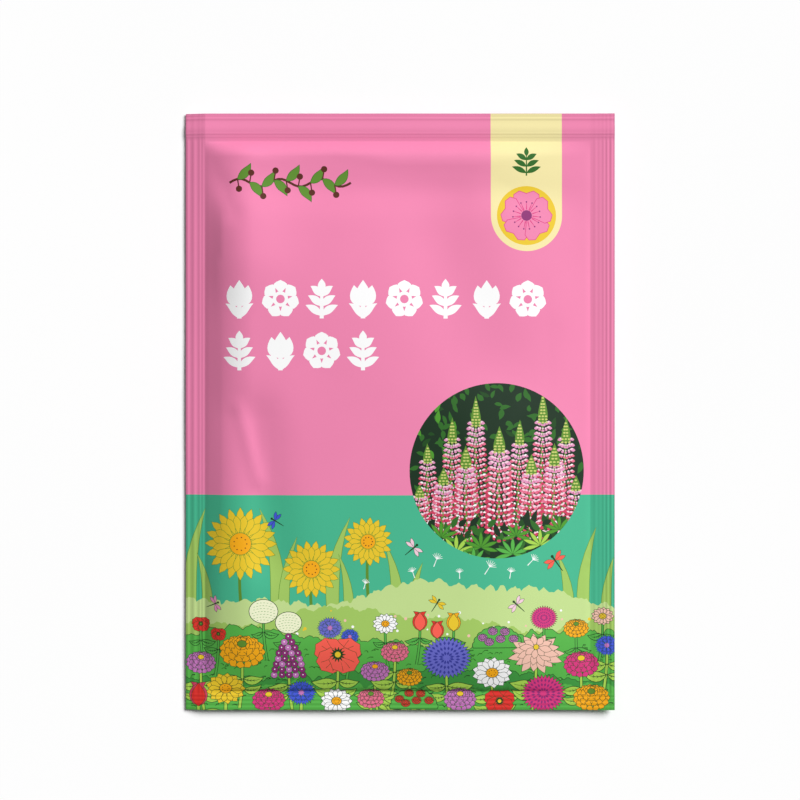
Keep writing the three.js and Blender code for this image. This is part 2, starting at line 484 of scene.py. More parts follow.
# %% Leaves and stems
def leaf(plate, base, tip, width, fill="green", bend=0.0, veins=3):
    plate.lined(fill, blade(base, tip, width, bend, 0.8, 7), width=0.15)
    rib = arc(base, tip, bend, 6)
    plate.ink("dark", stroke(rib[:-1], 0.2, 0.08))
    for i in range(1, veins + 1):
        (x, y), (u, v) = rib[i], rib[i + 1]
        along = math.atan2(v - y, u - x)
        reach = width * 0.32 * (1 - 0.12 * i)
        for side in (-0.75, 0.75):
            end = around((x, y), reach, along + side)
            plate.ink("dark", stroke([(x, y), end], 0.12, 0.05))


def stem(plate, foot, head, fill="green", width=0.55, bend=0.0):
    path = arc(foot, head, bend, 5)
    plate.ink("dark", stroke(path, width + 0.26, width * 0.8 + 0.26))
    plate.ink(fill, stroke(path, width, width * 0.8))


print("a leaf takes", shapes_in(leaf, (0, 0), (5, 0), 2), "outlines")


# %% Round heads with a middle
def daisy(plate, at, radius, fill, eye, count=13, squash=0.8):
    for row in range(2):
        wide = 2 * math.pi * radius / count * (0.72 - 0.1 * row)
        far, start = radius * (1 - 0.14 * row), math.pi * row / count
        for petal in petals(at, radius * 0.18, far, count, wide, start, squash, 1.7, 5):
            plate.lined(fill, petal)
    plate.lined(eye, oval(at, radius * 0.3, radius * 0.3 * squash, steps=14), "dark", 0.12)
    for angle in turns(7):
        plate.ink("brown", oval(around(at, radius * 0.17, angle, squash), 0.13, steps=5))


def zinnia(plate, at, radius, fill, eye, rings=4, squash=0.72):
    """Rings of broad petals. The upper rings are set back, as on a head seen from one side."""
    for ring in range(rings):
        reach = radius * (1 - ring / (rings + 0.6))
        centre = (at[0], at[1] + radius * squash * 0.16 * ring)
        count = max(7, round(15 * reach / radius))
        wide, start = 2 * math.pi * reach / count * 0.92, math.pi * (ring % 2) / count
        for petal in petals(centre, 0.45 * reach, reach, count, wide, start, squash, 2.0, 4):
            plate.lined(fill, petal)
        plate.ink(fill, oval(centre, reach * 0.62, reach * 0.62 * squash, steps=12))
    plate.lined(eye, oval(centre, radius * 0.2, radius * 0.2 * squash, steps=10))


print("a daisy takes", shapes_in(daisy, (0, 0), 4, "white", "orange"), "outlines")


# %% Heads of many small florets
def thistle(plate, at, radius, fill, shade, spikes=34, squash=0.86):
    """A round head of many narrow florets."""
    plate.ink("dark", burst(at, radius + 0.15, radius * 0.84, spikes, squash))
    plate.ink(fill, burst(at, radius - 0.12, radius * 0.8, spikes, squash))
    for share, count in ((0.8, 26), (0.56, 20), (0.32, 12)):
        near, far, start = radius * (share - 0.2), radius * share, math.pi * (share < 0.6) / count
        for petal in petals(at, near, far, count, radius * 0.1, start, squash, 1, 2):
            plate.ink(shade, petal)


def globe(plate, at, radius, fill, line="deep_green"):
    """A dome of tiny florets, drawn as rows of short dashes."""
    plate.lined(fill, oval(at, radius, radius * 0.82, steps=22), width=0.15)
    for row in range(-3, 4):
        half = radius * 0.86 * math.sqrt(1 - (row * 0.2 / 0.82) ** 2)
        dashes = max(2, round(2 * half / 0.75))
        for k in range(dashes):
            x = 2 * half * (k + 0.5 + 0.25 * (row % 2)) / dashes - half
            y = at[1] + radius * 0.2 * row - 0.25 * x * x / radius
            plate.ink(line, stroke([(at[0] + x - 0.2, y), (at[0] + x + 0.2, y + 0.04)], 0.11, 0.06))


def bush(plate, at, radius, fill, bloom):
    """A scalloped mound with round blooms on it."""
    bumps = 11
    mound = []
    for k in range(3 * bumps + 1):
        angle = math.pi * k / (3 * bumps)
        mound.append(around(at, radius * (1 + 0.05 * abs(math.sin(bumps * angle))), angle, 0.85))
    plate.lined(fill, mound, width=0.15)
    for u, v in [(-0.62, 0.42), (-0.2, 0.68), (0.3, 0.66), (0.66, 0.36), (-0.35, 0.24), (0.12, 0.36)]:
        zinnia(plate, (at[0] + u * radius, at[1] + v * radius), radius * 0.2, bloom, bloom, 2, 0.8)


def cluster(plate, at, radius, fill, shade):
    """A cone of small round florets."""
    draw = random.Random(1)
    for row in range(8):
        half = radius * 0.8 * (1 - (row / 8.5) ** 1.5)
        count = max(1, round(half / (radius * 0.15)))
        for k in range(count):
            x = at[0] - half + 2 * half * (k + 0.5) / count + draw.uniform(-0.12, 0.12)
            y = at[1] + radius * (-0.75 + 0.25 * row)
            plate.lined(fill if (k + row) % 3 else shade, oval((x, y), radius * 0.15, steps=7))
            plate.ink("white", oval((x - 0.05, y + 0.07), radius * 0.035, steps=4))


print("a thistle takes", shapes_in(thistle, (0, 0), 4, "magenta", "plum"), "outlines")


# %% Heads of long or broad petals
def dahlia(plate, at, radius, fill, eye):
    """Long pointed petals in three rows, the upper row standing up."""
    for row, (reach, lift, count) in enumerate(((1.0, 0.0, 15), (0.82, 0.12, 13), (0.58, 0.26, 9))):
        centre = (at[0], at[1] + radius * lift)
        wide = radius * (0.3 - 0.03 * row)
        for k, angle in enumerate(turns(count, 0.2 * row)):
            far = reach * radius * (1 + 0.07 * (-1) ** k)
            base, tip = around(centre, 0.1 * radius, angle, 0.7), around(centre, far, angle, 0.72)
            plate.lined(fill, blade(base, tip, wide, 0, 1.1, 6), "dark", 0.09)
    plate.lined(eye, oval(centre, radius * 0.1, steps=7), "dark", 0.08)


def poppy(plate, at, radius, fill, eye):
    """Four broad crumpled petals round a dark middle."""
    for angle in (0.5, 2.64, 4.0, 5.42):
        middle = around(at, radius * 0.42, angle, 0.85)
        petal = []
        for k, turn in enumerate(turns(16, angle)):
            petal.append(around(middle, radius * (0.62 + 0.035 * (-1) ** k), turn, 0.86))
        plate.lined(fill, petal)
        for side in (-0.35, 0.0, 0.35):
            low, high = around(at, radius * 0.34, angle + side), around(at, radius * 0.78, angle + 1.2 * side)
            plate.ink("dark", stroke(arc(low, high, 0.1, 3), 0.05, 0.11))
    plate.ink("dark", burst(at, radius * 0.36, radius * 0.2, 13))
    plate.ink(eye, oval(at, radius * 0.13, steps=9))


def cornflower(plate, at, radius, fill, eye):
    """Ragged florets, each with three teeth, in two rings."""
    for reach, florets, start in ((1.0, 10, 0.0), (0.68, 8, 0.3)):
        for angle in turns(florets, start):
            outline = [around(at, radius * 0.12, angle)]
            for k, share in enumerate((0.78, 0.98, 0.8, 1.04, 0.8, 0.98, 0.78)):
                outline.append(around(at, radius * reach * share, angle + 0.1 * (k - 3), 0.85))
            plate.lined(fill, outline, "dark", 0.08)
    plate.ink(eye, burst(at, radius * 0.24, radius * 0.14, 9))


def tulip(plate, at, radius, fill, shade):
    """A cup of three petals."""
    x, y = at
    foot = (x, y - radius)
    for side in (-1, 1):
        tip = (x + side * radius * 0.62, y + radius)
        plate.lined(shade, blade(foot, tip, radius * 1.1, side * radius * 0.5, 0.8, 8))
    plate.lined(fill, blade(foot, (x, y + radius * 0.9), radius * 1.15, 0, 0.85, 8))


KINDS = (daisy, zinnia, thistle, globe, bush, cluster, dahlia, poppy, cornflower, tulip)
HEADS = {head.__name__: head for head in KINDS}
print("kinds of flower:", list(HEADS))

# %% [markdown]
# ## The meadow
#
# Flowers in depth: small ones at the back, larger ones in front, each with its stem and its leaves. A list
# gives every plant's kind, place, size and inks, because a planted bed is composed, not scattered. Behind
# them are hedges with a ragged, leafy edge and short dark strokes for their leaves.

# %% Plants of the meadow
BACK_ROW = [
    ("poppy", -46.4, -49.4, 2.1, "red", "olive"), ("poppy", -42.2, -51.6, 1.8, "red", "olive"),
    ("globe", -31.6, -46.2, 3.3, "ivory"), ("globe", -25.8, -48.8, 3.0, "ivory"),
    ("cornflower", -16.2, -50.0, 2.9, "purple", "violet"),
    ("cornflower", -11.6, -52.0, 2.1, "blue", "violet"),
    ("daisy", -3.4, -49.0, 2.9, "white", "orange"), ("tulip", 4.6, -48.4, 2.2, "coral", "red"),
    ("tulip", 8.6, -50.4, 2.0, "coral", "red"), ("tulip", 12.4, -48.6, 2.1, "yellow", "orange"),
    ("bush", 22.6, -54.6, 5.6, "green", "violet"), ("thistle", 33.4, -47.8, 3.2, "magenta", "plum"),
    ("zinnia", 41.0, -50.4, 3.0, "orange", "olive"), ("daisy", 47.2, -47.6, 2.6, "blush", "yellow"),
]
MIDDLE_ROW = [
    ("zinnia", -46.4, -58.4, 3.6, "violet", "yellow"), ("zinnia", -36.6, -55.6, 5.4, "orange", "olive"),
    ("cluster", -25.8, -57.2, 5.2, "plum", "violet"), ("poppy", -14.4, -56.2, 5.4, "coral", "yellow"),
    ("zinnia", -5.8, -60.2, 3.4, "violet", "orange"), ("zinnia", -1.2, -55.6, 3.3, "rose", "yellow"),
    ("thistle", 10.8, -57.0, 5.8, "purple", "indigo"), ("zinnia", 2.2, -61.6, 3.0, "orange", "olive"),
    ("daisy", 21.4, -60.6, 4.6, "white", "orange"), ("dahlia", 31.6, -56.2, 6.2, "blush", "yellow"),
    ("zinnia", 42.2, -58.8, 4.2, "magenta", "yellow"), ("cornflower", 48.2, -54.4, 2.8, "blue", "violet"),
]
FRONT_ROW = [
    ("tulip", -47.0, -65.8, 2.8, "red", "ruby"), ("daisy", -40.6, -64.4, 4.6, "yellow", "orange"),
    ("zinnia", -30.6, -67.2, 3.9, "magenta", "yellow"), ("cornflower", -23.0, -65.4, 3.4, "blue", "violet"),
    ("daisy", -14.8, -67.4, 3.7, "white", "orange"), ("zinnia", -6.8, -66.8, 3.2, "rose", "olive"),
    ("bush", 3.2, -69.2, 5.4, "green", "red"), ("zinnia", 14.0, -67.0, 3.8, "violet", "yellow"),
    ("poppy", 23.2, -67.4, 3.5, "red", "yellow"), ("thistle", 33.4, -65.6, 5.2, "magenta", "plum"),
    ("zinnia", 44.6, -66.6, 4.3, "orange", "olive"),
]
# Length of a row's leaves, width of its stems, their ink, and the pairs of leaves on a stem
ROW_STYLE = [(3.0, 0.45, "green", 1), (5.4, 0.6, "lime", 2), (6.2, 0.75, "lime", 1)]
print("plants:", len(BACK_ROW + MIDDLE_ROW + FRONT_ROW))


# %% Planting a row
def plant_row(plate, plants, row):
    length, width, fill, pairs = ROW_STYLE[row]
    for n, (kind, x, y, radius, *_) in enumerate(plants):
        lean = (-1) ** n
        if kind == "bush":
            continue
        stem(plate, (x + 0.8 * lean, y - radius - 8), (x, y), fill, width, 0.3 * lean)
        for pair in range(pairs):
            low = y - radius * 0.8 - 2.2 - 2.4 * pair
            for side in (-1, 1):
                reach = length * (1 + 0.12 * side * lean - 0.1 * pair)
                drop = (0.5 * n + 0.7 * side) % 1.3 - 0.9 + 0.6 * pair
                base, tip = (x + side * 0.2, low), (x + side * reach, low + drop)
                leaf(plate, base, tip, reach * 0.42, fill, -side * (0.5 + 0.3 * pair))
    for kind, x, y, radius, *inks in plants:
        HEADS[kind](plate, (x, y), radius, *inks)


print("the front row takes", shapes_in(plant_row, FRONT_ROW, 2), "outlines")


# %% Hedges and foliage
def hedge(level, wave, phase, ragged, draw):
    """A band up from the bottom edge, whose leafy top is a row of uneven bumps on a long wave."""
    outline = [(-EDGE_X, -EDGE_Y), (EDGE_X, -EDGE_Y)]
    bump_end, bump_start, height = EDGE_X, EDGE_X, 0.0
    x = EDGE_X
    while x > -EDGE_X:
        if x <= bump_end:
            bump_start, bump_end = x, x - draw.uniform(2.2, 5.5)
            height = draw.uniform(0.5, 1.3)
        swell = math.sin(0.075 * x + phase) + 0.4 * math.sin(0.19 * x + 2 * phase)
        bump = height * math.sin(math.pi * min(1, (bump_start - x) / (bump_start - bump_end)))
        outline.append((x, level + wave * swell + bump + draw.uniform(-ragged, ragged)))
        x -= draw.uniform(0.3, 0.7)
    outline.append((-EDGE_X, outline[-1][1]))
    return outline


def foliage(plate, low, high, count, ink, draw):
    """Short curved strokes, which stand for the leaves of a hedge or for grass."""
    for _ in range(count):
        x, y = draw.uniform(-49.5, 48.5), draw.uniform(low, high)
        length, rise = draw.uniform(0.7, 1.5), draw.uniform(-0.5, 0.7)
        plate.ink(ink, stroke(arc((x, y), (x + length, y + rise), draw.uniform(0.15, 0.4), 2), 0.1, 0.26))


print("a hedge has", len(hedge(0, 1, 0, 0.2, random.Random(1))), "points")


# %% The whole meadow
def meadow(plate):
    draw = random.Random(5)
    plate.ink("pale_green", hedge(-42.6, 2.6, 0.6, 0.32, draw))
    plate.ink("mid_green", hedge(-48.4, 2.2, 2.4, 0.3, draw))
    for _ in range(70):
        spot = draw.uniform(-49, 49), draw.uniform(-56, -46)
        fill = draw.choice(("white", "white", "blush", "yellow"))
        plate.ink(fill, oval(spot, draw.uniform(0.2, 0.4), steps=7))
    plate.lined("green", hedge(-53.0, 1.9, 4.2, 0.3, draw), "dark", 0.12)
    foliage(plate, -60, -54.5, 150, "forest", draw)
    plate.lined("deep_green", hedge(-61.6, 1.2, 1.2, 0.25, draw), "dark", 0.12)
    plate.ink("green", hedge(-64.6, 0.8, 3.0, 0.2, draw))
    foliage(plate, -69, -61, 130, "dark", draw)
    for row, plants in enumerate((BACK_ROW, MIDDLE_ROW, FRONT_ROW)):
        plant_row(plate, plants, row)


print("the meadow takes", shapes_in(meadow), "outlines")

# %% [markdown]
# ## Tall yellow flowers
#
# Over the teal band stand three tall yellow flowers among long blades. They are thin olive outlines and two
# rows of petals.

# %% Yellow flowers and blades
BLADES = [
    (-48, -22.5, 2.2, 3.0), (-45.5, -33, -1.5, 2.4), (-29.5, -22.5, -2.5, 3.2), (-26, -29, 1.8, 2.4),
    (-14.5, -24.5, 2.4, 3.0), (-12.5, -33, -1.4, 2.2), (-1.5, -30, -1.8, 2.6), (3.5, -35, 1.4, 2.2),
    (38.5, -33, -1.6, 2.4), (43.5, -27, 1.8, 2.8), (48.5, -34, 1.0, 2.2),
]
TALL_FLOWERS = [((-37, -30.6), 8.4, 20), ((-20.5, -36.4), 6.6, 18), ((-7.4, -30), 5.6, 17)]
TALL_FOOT = -52  # the meadow covers the feet of both


def tall_flowers(plate):
    for x, top, bend, width in BLADES:
        outline = blade((x, TALL_FOOT), (x + bend * 1.2, top), width, bend, 0.7, 8)
        plate.lined("mid_green", outline, "olive", 0.12)
    for at, radius, count in TALL_FLOWERS:
        plate.ink("olive", stroke(arc((at[0] + 1, TALL_FOOT), at, 0.6), 0.8, 0.6))
        wide = 2.2 * math.pi * radius / count * 0.6
        for row in range(2):
            far, start = radius * (1 - 0.22 * row), math.pi * row / count
            for petal in petals(at, radius * 0.2, far, count, wide, start, 1, 1.8):
                plate.lined("yellow", petal, "olive", 0.09)
        plate.lined("orange", oval(at, radius * 0.3, steps=18), "olive", 0.12)
        for angle in turns(9):
            plate.ink("brown", oval(around(at, radius * 0.18, angle), 0.16, steps=6))


print("tall flowers:", len(TALL_FLOWERS), "blades:", len(BLADES))

# %% [markdown]
# ## Dragonflies and drifting seeds
#
# Small things in the air over a bed make it look alive. A dragonfly is four narrow wings on a thin body,
# and a drifting seed is a stalk with a fan of hairs.

# %% Small things in the air
DRAGONFLIES = [  # place, length, heading, ink of the wings
    ((36.0, -34.5), 4.4, 2.2, "coral"), ((3.2, -31.4), 3.8, 0.7, "shell"),
    ((-29.0, -25.2), 3.4, 2.6, "blue"), ((8.6, -44.2), 3.4, 1.0, "yellow"),
    ((-43.0, -44.6), 3.2, 0.4, "orchid"), ((27.0, -44.6), 3.6, 2.4, "shell"),
]
DRIFTING_SEEDS = [  # place, length, heading
    ((3.4, -38.4), 1.5, 1.9), ((7.8, -35.8), 1.9, 1.2), ((13.8, -38.6), 1.4, 1.6), ((19.6, -37.6), 2.1, 1.0),
    ((25.4, -38.6), 1.5, 1.4), ((29.6, -35.6), 1.8, 0.8), ((-8.4, -41.0), 1.4, 1.3),
]


def dragonfly(plate, at, length, heading, wings):
    for spread in (-1.8, -1.15, 1.15, 1.8):
        tip = around(at, length * 0.6, heading + spread)
        plate.lined(wings, blade(at, tip, length * 0.2, 0, 1.3, 6), "dark", 0.08)
    body = [around(at, length * 0.25, heading), around(at, -length * 0.7, heading)]
    plate.ink("dark", stroke(body, length * 0.1, length * 0.04))
    plate.ink("dark", oval(body[0], length * 0.085, steps=8))


def drifting_seed(plate, at, length, heading):
    crown = around(at, length, heading)
    plate.ink("white", stroke([at, crown], 0.2, 0.12))
    for k in range(-3, 4):
        plate.ink("white", stroke([crown, around(crown, length * 0.75, heading + 0.36 * k)], 0.14, 0.08))


def air(plate):
    for at, length, heading, wings in DRAGONFLIES:
        dragonfly(plate, at, length, heading, wings)
    for at, length, heading in DRIFTING_SEEDS:
        drifting_seed(plate, at, length, heading)


print("dragonflies:", len(DRAGONFLIES), "drifting seeds:", len(DRIFTING_SEEDS))

# %% [markdown]
# ## The round picture
#
# A seed packet shows what its seeds grow into. Lupins are spikes of many small florets, set in rings that
# shrink towards a green tip. The picture is drawn from such spikes, the tallest in the middle, over dark
# foliage, and every shape in it is trimmed to the round window.

# %% Flower spikes in a round window
WINDOW = ((22.5, -13.65), 20.3)
REAR_SPIKES = [  # place of the foot, height, width and lean of each spike
    (-15.6, 20, 4.2, -0.6), (-4.6, 31, 4.6, -0.4), (4.8, 25.5, 4.4, 0.5), (15.4, 26, 4.4, 0.8),
    (10.4, 32, 4.6, 0.3), (-10.6, 26, 4.4, 0.2),
]
NEAR_SPIKES = [
    (-17.6, 13.5, 4.4, -0.4), (-12.6, 17.5, 4.8, 0.2), (-7.0, 22.5, 5.2, -0.3), (0.4, 27, 5.6, 0.1),
    (7.6, 20.5, 5.2, 0.4), (13.2, 23.0, 5.2, 0.2), (18.0, 15.5, 4.4, 0.5),
]
print("spikes:", len(REAR_SPIKES + NEAR_SPIKES))

# %% A lupin spike
RING_SPACING = 1.22
BUD_SPACING = 0.72


def floret(plate, at, size, lean, lower, upper):
    """A pale banner petal above, folded back over a plump keel that points outwards."""
    x, y = at
    keel = (x + 1.25 * size * lean, y - size * (0.62 - 0.45 * abs(lean)))
    banner = (x + size * 0.75 * lean, y + size * (0.5 - 0.12 * abs(lean)))
    plate.ink(lower, blade((x - 0.35 * size * lean, y + 0.12 * size), keel, size * 0.86, 0, 1.5, 4))
    plate.ink(upper, blade((x - 0.3 * size * lean, y), banner, size * 0.5, 0, 1.3, 4))


def spike(plate, foot, height, width, sway, draw):
    """Rings of florets on a stalk: pale and close at the top, rosier and wider apart below, a green tip."""
    x, y = foot
    plate.ink("olive", stroke(arc(foot, (x + sway, y + height * 0.85), 0.2), width * 0.14, width * 0.08))
    rings = round(0.78 * height / RING_SPACING)
    for ring in range(rings):
        up = ring / rings
        half = width / 2 * (1 - 0.42 * up**2.2)
        middle = (x + sway * up, y + height * 0.05 + RING_SPACING * ring)
        count = 6 if ring % 2 else 5
        for k in sorted(range(count), key=lambda k: -abs(2 * k - count + 1)):
            lean = (2 * k - count + 1) / (count - 1)
            size = width * 0.22 * (1 - 0.15 * up) * draw.uniform(0.9, 1.1)
            drop = 0.1 * width * (1 - abs(lean)) + draw.uniform(-0.08, 0.08)
            at = (middle[0] + 0.68 * half * lean, middle[1] - drop)
            blushed = up + draw.uniform(-0.15, 0.15) < 0.58
            lower = "ruby" if blushed else ("rose" if up < 0.78 else "orchid")
            floret(plate, at, size, lean, lower, "white" if draw.random() < 0.16 * (1 - up) else "shell")
    top = (x + sway, y + height)
    foot_of_tip = (x + sway * 0.8, y + height * 0.76)
    plate.ink("olive", blade(foot_of_tip, top, width * 0.5, 0, 0.5, 8))
    rows = round(0.2 * height / BUD_SPACING)
    for row in range(rows):
        share = row / rows
        buds = 3 - round(2 * share)
        for k in range(buds):
            offset = (k - (buds - 1) / 2) * width * 0.19 * (1 - 0.6 * share)
            spot = (foot_of_tip[0] + offset, y + height * (0.775 + 0.2 * share))
            plate.ink("straw", oval(spot, width * 0.07, BUD_SPACING * 0.3, steps=6))


print("a spike takes", shapes_in(spike, (0, 0), 24, 5, 0.2, random.Random(1)), "outlines")

# %% Leaves in the window, and the whole picture
LUPIN_LEAVES = [  # place, height above the window's lowest point, length of the leaflets, ink
    (-13, 5.0, 4.0, "leaf_green"), (-9.5, 1.5, 4.4, "lime"), (-3.8, 2.6, 4.0, "leaf_green"),
    (-5.5, -1.0, 4.0, "green"), (3.6, 1.0, 4.2, "green"), (4.4, 5.2, 3.4, "leaf_green"),
    (10.0, 3.0, 4.2, "lime"), (14.5, 6.5, 3.6, "leaf_green"),
]
DARK_LEAVES = 230  # behind the spikes
UNDERGROWTH = 80  # and in front of their feet


def lupin_leaf(plate, foot, size, ink):
    """Narrow leaflets that spread like a hand."""
    for k in range(7):
        angle = math.pi * (-0.08 + 0.193 * k)
        plate.lined(ink, blade(foot, around(foot, size, angle, 0.9), size * 0.2, 0, 1.2, 5), "forest", 0.1)


def round_picture(plate):
    (x, y), radius = WINDOW
    plate.window = plate.ink("night", oval((x, y), radius, steps=96))
    draw = random.Random(21)
    for _ in range(DARK_LEAVES):
        spot = around((x, y), radius * math.sqrt(draw.random()), draw.uniform(0, 2 * math.pi))
        tip = around(spot, draw.uniform(1.5, 3.2), draw.uniform(0, 2 * math.pi))
        ink = draw.choice(("forest", "forest", "shade_green", "night" if spot[0] > x - 6 else "leaf_green"))
        plate.ink(ink, blade(spot, tip, draw.uniform(0.8, 1.4), 0.2, 0.8, 5))
    ground = y - radius * 0.72
    for spikes, drop in ((REAR_SPIKES, -1.0), (NEAR_SPIKES, 2.0)):
        for dx, height, width, sway in spikes:
            spike(plate, (x + dx, ground - drop), height, width, sway, draw)
    for _ in range(UNDERGROWTH):
        spot = (x + draw.uniform(-0.85, 0.85) * radius, y - radius * draw.uniform(0.6, 1.0))
        tip = around(spot, draw.uniform(2.0, 4.4), draw.uniform(0.5, 2.6))
        plate.ink(draw.choice(("night", "shade_green", "forest")), blade(spot, tip, 1.4, 0.2, 0.8, 5))
    for dx, up, size, ink in LUPIN_LEAVES:
        lupin_leaf(plate, (x + dx, y - radius + up), size, ink)
    plate.window = None


print("the round picture takes", shapes_in(round_picture), "outlines")

# %% [markdown]
# ## The tab, the frieze and the garland
#
# A cream tab hangs from the top edge with a sprig and a pink blossom on a yellow disc. Two lines of white
# paper-cut flowers and a small garland fill the upper half. They are light in weight against the tab and the
# round picture, so that the front is balanced.

# %% The tab
TAB = (29.4, 45.6)
TAB_RADIUS = 8.3
DISC_RADIUS = 6.9
PETAL_REACH, PETAL_WIDTH = 5.7, 6.4
STAMENS = 15
SPRIG_FOOT, SPRIG_TOP = 54.9, 60.2


def heart_petal(at, reach, angle, wide):
    """A petal with a notch in its tip."""
    c, s = math.cos(angle), math.sin(angle)
    profile = [(0.0, 0.0), (0.3, 0.2), (0.62, 0.46), (0.86, 0.45), (1.0, 0.26), (0.9, 0.0)]
    half = [(reach * u, wide * v) for u, v in profile]
    outline = half + [(u, -v) for u, v in half[-2:0:-1]]
    return [(at[0] + c * u - s * v, at[1] + s * u + c * v) for u, v in outline][::-1]


def tab(plate):
    x = TAB[0]
    foot = [around(TAB, TAB_RADIUS, math.pi + math.pi * k / 32) for k in range(33)]
    plate.ink("cream", [(x - TAB_RADIUS, EDGE_Y), *foot, (x + TAB_RADIUS, EDGE_Y)])
    plate.ink("yellow", oval(TAB, DISC_RADIUS, steps=48))
    for angle in turns(5, math.pi / 2):
        plate.lined("pink", heart_petal(TAB, PETAL_REACH, angle, PETAL_WIDTH), "magenta", 0.14)
    for angle in turns(STAMENS, math.pi / 2):
        plate.ink("magenta", stroke([around(TAB, 1.4, angle), around(TAB, 3.1, angle)], 0.24, 0.08))
        plate.ink("plum", oval(around(TAB, 3.2, angle), 0.2, steps=7))
    plate.ink("plum", oval(TAB, 1.25, steps=20))
    plate.ink("forest", stroke([(x, SPRIG_FOOT), (x, SPRIG_TOP)], 0.34, 0.2))
    for k in range(3):
        for side in (-1, 1):
            tip = (x + side * (3.4 - 0.5 * k), 57 + 1.5 * k)
            plate.ink("forest", blade((x, 55.5 + 1.5 * k), tip, 1.25, side * 0.15, 0.9, 6))
    plate.ink("forest", blade((x, 59.4), (x, 61.6), 1.1, 0, 0.9, 6))


print("the tab takes", shapes_in(tab), "outlines")

# %% The frieze
FRIEZE_LEFT = -37.2
FRIEZE_PITCH = 9.55
FRIEZE_LINES = [(21.6, 8, 0), (9.6, 4, 2)]  # foot, count and first motif of each line


def paper_leaf(plate, base, tip, width=1.8, bend=0.0, blunt=0.9):
    plate.ink("white", blade(base, tip, width, bend, blunt, 8))


def paper_tulip(plate, x, y):
    for u in (-1, 0, 1):
        paper_leaf(plate, (x, y + 2.9), (x + 2.1 * u, y + 8.9 - 1.2 * abs(u)), 3.3, -0.43 * u, 0.85)
    plate.ink("white", stroke([(x, y), (x, y + 3.8)], 1.05))
    for u in (-1, 1):
        paper_leaf(plate, (x, y), (x + 3.3 * u, y + 3.5), bend=0.5 * u, blunt=0.8)


def paper_bloom(plate, x, y):
    centre = (x, y + 4.5)
    for petal in petals(centre, 0.9, 4.4, 7, 3.2, math.pi / 2, 1, 1.7, 8):
        plate.ink("white", petal)
    plate.ink("white", oval(centre, 1.8))
    plate.ink("pink", oval(centre, 1.0))


def paper_sprig(plate, x, y):
    plate.ink("white", stroke([(x, y), (x, y + 7.7)], 0.95, 0.6))
    for k in range(3):
        for u in (-1, 1):
            tip = (x + u * (3.75 - 0.58 * k), y + 3.1 + 2.2 * k)
            paper_leaf(plate, (x, y + 0.6 + 2.2 * k), tip, bend=0.3 * u)
    paper_leaf(plate, (x, y + 6.3), (x, y + 9.2))


def frieze(plate):
    motifs = (paper_tulip, paper_bloom, paper_sprig)
    for foot, count, first in FRIEZE_LINES:
        for k in range(count):
            motifs[(first + k) % 3](plate, FRIEZE_LEFT + FRIEZE_PITCH * k, foot)


print("the frieze takes", shapes_in(frieze), "outlines")

# %% The garland
GARLAND = (-39.6, 53.2)
GARLAND_LENGTH, GARLAND_WAVE = 28.2, 0.9


def garland(plate):
    path = []
    for i in range(31):
        rise = GARLAND_WAVE * math.sin(0.2 * math.pi * i)
        path.append((GARLAND[0] + GARLAND_LENGTH * i / 30, GARLAND[1] + rise))
    plate.ink("brown", stroke(path, 0.55))
    for k in range(9):
        x, y = path[2 + 3 * k]
        side = (-1) ** k
        outline = blade((x, y), (x + 3, y + 3.5 * side), 1.9, -0.4 * side, 0.85, 8)
        plate.lined("olive", outline, "forest", 0.12)
        plate.ink("brown", stroke([(x, y), (x + 0.3, y - 1.8 * side)], 0.3))
        plate.ink("brown", oval((x + 0.35, y - 2.3 * side), 0.75, steps=12))


print("the garland takes", shapes_in(garland), "outlines")

# %% The whole front
TEAL_TOP = -19.3


def pink_plate():
    plate = Plate()
    plate.ink("pink", rectangle(-EDGE_X, -EDGE_Y, EDGE_X, EDGE_Y))
    return plate


def front_artwork():
    plate = pink_plate()
    plate.ink("teal", rectangle(-EDGE_X, -EDGE_Y, EDGE_X, TEAL_TOP))
    for part in (tall_flowers, meadow, air, round_picture, tab, frieze, garland):
        part(plate)
    return plate


front_plate = front_artwork()
print("the front takes", len(front_plate.shapes), "outlines")

# %% [markdown]
# ## The back
#
# The photograph doesn't show the back. A packet's back is plainer: a cream panel for the growing notes,
# here blank rules with a leaf, a drop and a sun-yellow disc beside them, a strip of twelve rings for the
# sowing months, and a green hedge at the foot.

# %% Back artwork
PANEL = (-36, -40, 36, 50)
RULES_RIGHT = 30
RULE_HALF = 0.45
# Height and length of each rule
RULES = [(38, 53), (34, 49), (30, 54), (18, 46), (14, 52), (10, 40), (-2, 50), (-6, 44), (-10, 52)]
SIGN_X = -29.5  # the drop and the disc stand one above the other
MONTHS = (-30.25, -28)  # place of the first ring
MONTH_PITCH = 5.5
SOWING_MONTHS = (2, 3, 4, 8, 9)


def rounded(x0, y0, x1, y1, radius):
    left, bottom, right, top = x0 + radius, y0 + radius, x1 - radius, y1 - radius
    spots = []
    for quarter, corner in enumerate(((right, top), (left, top), (left, bottom), (right, bottom))):
        spots += [around(corner, radius, math.pi / 2 * (quarter + k / 8)) for k in range(9)]
    return spots


def back_artwork():
    plate = pink_plate()
    plate.ink("cream", rounded(*PANEL, 5))
    for y, length in RULES:
        plate.ink("blush", rectangle(RULES_RIGHT - length, y - RULE_HALF, RULES_RIGHT, y + RULE_HALF))
    leaf(plate, (-32, 31), (-27, 37), 3, "lime", 0.3)
    plate.ink("teal", blade((SIGN_X, 9.5), (SIGN_X, 18.5), 5.2, 0, 0.6, 10))
    plate.ink("yellow", oval((SIGN_X, -6), 3.2, steps=24))
    for month in range(12):
        at = (MONTHS[0] + MONTH_PITCH * month, MONTHS[1])
        fill = "magenta" if month in SOWING_MONTHS else "cream"
        plate.lined(fill, oval(at, 1.9, steps=20), "magenta", 0.3)
    draw = random.Random(9)
    plate.ink("mid_green", hedge(-48.0, 1.6, 2.4, 0.16, draw))
    plate.ink("green", hedge(-57.0, 1.2, 4.2, 0.2, draw))
    return plate


